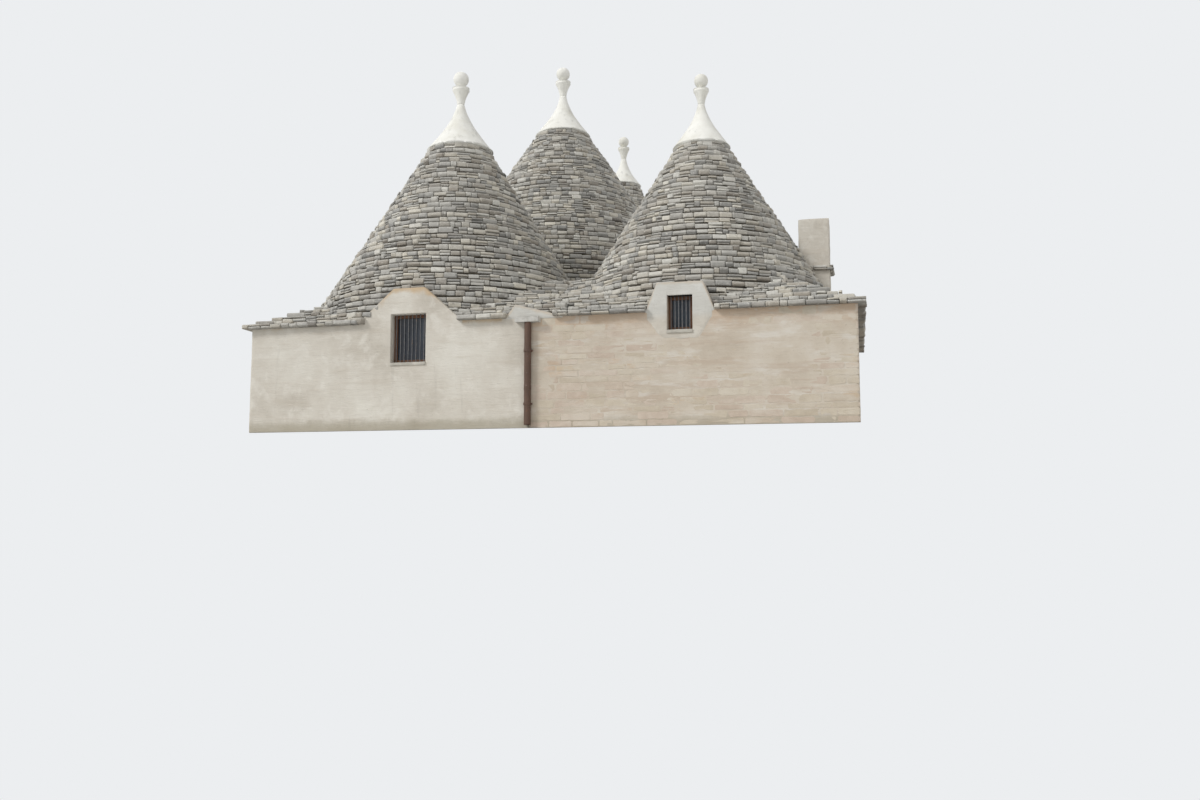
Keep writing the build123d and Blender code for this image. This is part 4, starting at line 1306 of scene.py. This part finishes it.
def lime_cap_paint():
    """White lime plaster on the caps and pinnacles, with grey run-off and a few lichen specks."""
    paint = Paint("white lime", 0.82, 0.25)
    paint.colour = paint.ramp(paint.noise(3.0, 5.0, 0.6), (0.3, 226, 224, 214), (0.5, 238, 237, 230),
                              (0.75, 246, 245, 240))
    paint.veil((176, 176, 170), paint.noise(9.0, 5.0, 0.65, (1.0, 1.0, 0.16)), 0.54, 0.72, 0.35)
    paint.veil((150, 142, 120), paint.noise(34.0, 5.0, 0.7), 0.64, 0.72, 0.35)
    return paint.finish((paint.noise(11.0, 4.0, 0.55), 0.012, 0.45), (paint.noise(70.0), 0.003, 0.5))


def plastered_tops(material):
    """Caps and pinnacles, hand-rendered: never quite round, the caps drawn down over the topmost stones."""
    for number, cone in enumerate(CONES):
        for part, amount in (("_cap", 0.012), ("_pinnacle", 0.006)):
            mesh = nodes[cone.name + part].data.copy()
            mesh.materials.clear()
            form = bmesh.new()
            form.from_mesh(mesh)
            bmesh.ops.remove_doubles(form, verts=form.verts, dist=0.0005)
            foot = min(vertex.co.z for vertex in form.verts)
            widening = cone.radius(cone.plaster_foot) + CAP_LIP - cone.cap_radius
            for vertex in form.verts:
                co = vertex.co
                place = co * 2.6 + Vector((number * 7.0, 0.0, 0.0))
                swell = noise.noise(place) * 0.6 + noise.noise(place * 3.7) * 0.4
                near_foot = fade(co.z - foot, 0.10) if part == "_cap" else 0.0
                bell = max(0.0, 1 - (co.z - foot) / CAP_BELL) if part == "_cap" else 0.0
                reach = co.xy - cone.axis
                if reach.length > 0.005:
                    wider = bell * widening * min(1.0, reach.length / (cone.cap_radius * 0.6))
                    reach *= (amount * (swell + 0.1) - near_foot * CAP_LIP * 0.8 + wider) / reach.length
                    co.xy += reach
                waver = near_foot * 0.016 * noise.noise(co * 5.0)
                co.z += waver - bell * (cone.top - cone.plaster_foot)
            form.to_mesh(mesh)
            form.free()
            piece = finished(cone.name + "_rendered" + part, mesh, material, "lime_cap", smooth=True)
            mesh.set_sharp_from_angle(angle=math.radians(38))
            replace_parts(piece, cone.name + part)


def window_bars(name, frame_node, outward, count, material):
    """Upright forged bars, slightly out of true, let into the hole before a window."""
    low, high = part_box(frame_node)
    stones = Stones(name, 91)
    y = (low.y if outward < 0 else high.y) + outward * BAR_OUT
    foot, top = low.z - 0.002, high.z - REVEAL_PLASTER + 0.003
    steps = max(2, round((top - foot) / 0.06))
    for k in range(count):
        x = low.x + (high.x - low.x) * (k + 1) / (count + 1)
        waver = stones.random.uniform(-0.003, 0.003)
        rings = []
        for step in range(steps + 1):
            t = step / steps
            dx = waver * math.sin(t * math.pi) + stones.random.uniform(-0.0006, 0.0006)
            rings.append([(x + dx + sx * BAR_HALF, y + sy * BAR_HALF, foot + (top - foot) * t)
                          for sx, sy in ((-1, -1), (1, -1), (1, 1), (-1, 1))])
        stones.add(rings)
    stones.build(material, "painted_metal")


def rainwater_pipe(material):
    """Round pipe with socket joints, small dents and an open foot; it takes the plain tube's place."""
    low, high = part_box("rainwater_pipe")
    axis = Vector(((low.x + high.x) / 2, (low.y + high.y) / 2))
    outer = (high.x - low.x) / 2
    profile = [(outer - PIPE_WALL, low.z + 0.30), (outer - PIPE_WALL, low.z + 0.002), (outer - 0.004, low.z)]
    z = low.z + 0.004
    while z < high.z:
        from_socket = min(abs(z - low.z - joint) for joint in PIPE_SOCKETS)
        profile.append((outer + (-0.003 if from_socket > 0.035 else 0.0), z))
        z += 0.02
    profile.append((outer - 0.003, high.z))
    points = []
    for radius, z in profile:
        for k in range(PIPE_SIDES):
            angle = 2 * math.pi * k / PIPE_SIDES
            across, along = math.cos(angle), math.sin(angle)
            reach = radius + 0.0008 * (noise.noise(Vector((across, along, z * 7.0)) * 1.5) - 1)
            points.append((axis.x + reach * across, axis.y + reach * along, z))
    mesh = from_lists("pipe", points, tube_faces(0, len(profile), PIPE_SIDES))
    piece = finished("jointed_pipe", mesh, material, "painted_metal", smooth=True)
    mesh.set_sharp_from_angle(angle=math.radians(40))
    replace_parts(piece, "rainwater_pipe")


def flat_bar(stones, x0, x1, y, outward, thickness, z0, z1, edge):
    """Flat board or strap on a face along x, with eased edges."""
    rings = []
    steps = max(2, round((z1 - z0) / 0.15))
    inner, outer = y + outward * (thickness - edge), y + outward * thickness
    for step in range(steps + 1):
        z = z0 + (z1 - z0) * step / steps
        bow = stones.random.uniform(-0.0004, 0.0004)
        ring = [(x0, y, z), (x0, inner, z), (x0 + edge, outer + bow, z), (x1 - edge, outer + bow, z),
                (x1, inner, z), (x1, y, z)]
        rings.append(ring if outward > 0 else ring[::-1])
    stones.add(rings)


def door_planks(wood, iron):
    """Boards on both faces of the open leaf, with three iron straps on each."""
    low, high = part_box("door_leaf")
    boards, straps = Stones("door_boards", 51), Stones("door_straps", 52)
    width = (high.x - low.x) / BOARD_COUNT
    for face, outward in ((low.y, -1), (high.y, 1)):
        for k in range(BOARD_COUNT):
            flat_bar(boards, low.x + k * width + BOARD_GAP, low.x + (k + 1) * width - BOARD_GAP, face,
                     outward, BOARD, low.z, high.z, BOARD / 2)
        for share in STRAP_HEIGHTS:
            z = low.z + (high.z - low.z) * share
            flat_bar(straps, low.x, high.x - 0.05, face + outward * BOARD, outward, STRAP, z - STRAP_HALF,
                     z + STRAP_HALF, 0.0015)
    boards.build(wood, "brown_wood")
    straps.build(iron, "painted_metal")


def roof():
    stone, core, lining = dry_stone_paint(), core_paint(), lining_paint()
    for number, cone in enumerate(CONES):
        cone_courses(cone, 11 + number, stone)
        cone_core(cone, core, lining)
    for number, skirt in enumerate(SKIRTS):
        skirt_courses(skirt, 31 + number, stone)
        skirt_core(skirt, core)
    chimney_ledge(stone)
    plastered_tops(lime_cap_paint())


def walls_and_openings():
    """Skins, blocks and fittings, and the finish of each node of the frame that stays in view."""
    lime, wood, iron, metal = limewash_paint(), wood_paint(), iron_paint(), pipe_paint()
    dressed = dressed_stone_paint("dressed limestone", (206, 202, 192), (186, 182, 172), (158, 153, 142))
    spout = dressed_stone_paint("spout stone", (214, 212, 205), (192, 190, 184), (160, 157, 150), 9.0)
    paints = {"limewashed_wall": lime, "stone_wall": wall_core_paint(), "dressed_stone": dressed,
              "brown_wood": wood, "window_glass": glass_paint(), "painted_metal": metal}
    for part in frame["record"]["subparts"]:
        if part["material_slot"] in paints:
            materials = nodes[part["node"]].data.materials
            materials.clear()
            materials.append(paints[part["material_slot"]])
    nodes["floor_paving"].data.materials[0] = paving_paint()
    limewashed_skin(lime)
    small_gable_patch(lime)
    wedge_patch(lime)
    block_wall(wall_block_paint())
    pointing(mortar_paint())
    for node, material, slot, bevel, spacing, roughness, seed in (
        ("chimney", lime, "limewashed_wall", 0.022, 0.07, 0.012, 5.0),
        ("valley_spout", spout, "dressed_stone", 0.010, 0.03, 0.008, 2.0),
        ("window_sills", dressed, "dressed_stone", 0.008, 0.06, 0.005, 3.0),
        ("door_threshold", dressed, "dressed_stone", 0.012, 0.06, 0.008, 4.0),
        ("door_frame", wood, "brown_wood", 0.004, 0.25, 0.0015, 6.0),
        ("pipe_brackets", metal, "painted_metal", 0.0012, 0.03, 0.0006, 7.0),
        ("window_frame", wood, "brown_wood", 0.004, 0.12, 0.0012, 8.0),
        ("small_window_frame", wood, "brown_wood", 0.004, 0.12, 0.0012, 8.0),
        ("rear_window_frame", wood, "brown_wood", 0.004, 0.12, 0.0012, 8.0),
    ):
        weathered(node, material, slot, bevel, spacing, roughness, seed)
    rainwater_pipe(metal)
    window_bars("window_bars", "window_frame", -1, 8, iron)
    window_bars("small_window_bars", "small_window_frame", -1, 6, iron)
    window_bars("rear_window_bars", "rear_window_frame", 1, 8, iron)
    door_planks(wood, iron)


def mix_shaders(tree, output, share, first, second):
    """Surface of a material or world that passes from one shader to another by a share."""
    mix = tree.nodes.new("ShaderNodeMixShader")
    for socket, source in zip(mix.inputs, (share, first.outputs[0], second.outputs[0])):
        tree.links.new(source, socket)
    tree.links.new(mix.outputs[0], tree.nodes[output].inputs["Surface"])


def aim(item, direction, axis):
    """Turns one axis of a lamp or camera to a direction, with its Y axis up."""
    item.rotation_mode = "QUATERNION"
    item.rotation_quaternion = direction.to_track_quat(axis, "Y")


def stage():
    """Pale floor in two parts; the part before the house is clear and the other plain from below."""
    for name, y0, y1 in (("floor_back", FRONT, FLOOR_REACH), ("floor_front", -FLOOR_REACH, FRONT)):
        corners = corners_of(-FLOOR_REACH, FLOOR_REACH, y0, y1)
        mesh = from_lists(name, [(corner.x, corner.y, FLOOR_LEVEL) for corner in corners], [(0, 1, 2, 3)])
        plane = linked(name, mesh)
        material = bpy.data.materials.new(name)
        material.use_nodes = True
        tree = material.node_tree
        shader = tree.nodes["Principled BSDF"]
        shader.inputs["Base Color"].default_value = (*FLOOR_COLOUR, 1.0)
        shader.inputs["Roughness"].default_value = 0.95
        shader.inputs["Specular IOR Level"].default_value = 0.1
        facing = tree.nodes.new("ShaderNodeNewGeometry")
        if name == "floor_front":
            under = tree.nodes.new("ShaderNodeBsdfTransparent")
        else:
            under = tree.nodes.new("ShaderNodeEmission")
            under.inputs["Color"].default_value = (*BACKGROUND, 1.0)
        mix_shaders(tree, "Material Output", facing.outputs["Backfacing"], shader, under)
        plane.data.materials.append(material)


def light():
    """Even world light with a pale background, a soft sun from the upper left and a weak broad one."""
    world = bpy.data.worlds.new("studio")
    bpy.context.scene.world = world
    world.use_nodes = True
    tree = world.node_tree
    soft = tree.nodes["Background"]
    soft.inputs["Color"].default_value = (1.0, 1.0, 1.0, 1.0)
    soft.inputs["Strength"].default_value = WORLD_LIGHT
    seen = tree.nodes.new("ShaderNodeBackground")
    seen.inputs["Color"].default_value = (*BACKGROUND, 1.0)
    path = tree.nodes.new("ShaderNodeLightPath")
    direct = tree.nodes.new("ShaderNodeMath")
    direct.operation = "MAXIMUM"
    tree.links.new(path.outputs["Is Camera Ray"], direct.inputs[0])
    tree.links.new(path.outputs["Is Glossy Ray"], direct.inputs[1])
    mix_shaders(tree, "World Output", direct.outputs[0], soft, seen)
    for name, strength, spread, azimuth, elevation in SUNS:
        lamp = bpy.data.lights.new(name, "SUN")
        lamp.energy = strength
        lamp.angle = math.radians(spread)
        sun = linked(name, lamp)
        a, e = math.radians(azimuth), math.radians(elevation)
        towards = Vector((math.sin(a) * math.cos(e), -math.cos(a) * math.cos(e), math.sin(e)))
        aim(sun, towards, "Z")


def camera():
    """Camera where the photograph was taken from, below the terrace and to the right."""
    data = bpy.data.cameras.new("photograph")
    data.sensor_width = SENSOR
    data.lens = SENSOR * FOCAL_PIXELS / IMAGE_WIDTH
    data.clip_end = 500.0
    view = linked("photograph", data)
    view.location = EYE
    ahead = Vector((-math.sin(TURN_LEFT) * math.cos(TILT_UP), math.cos(TURN_LEFT) * math.cos(TILT_UP),
                    math.sin(TILT_UP)))
    aim(view, ahead, "-Z")
    bpy.context.scene.camera = view


roof()
walls_and_openings()
stage()
light()
camera()
bpy.context.scene.view_settings.view_transform = "Standard"
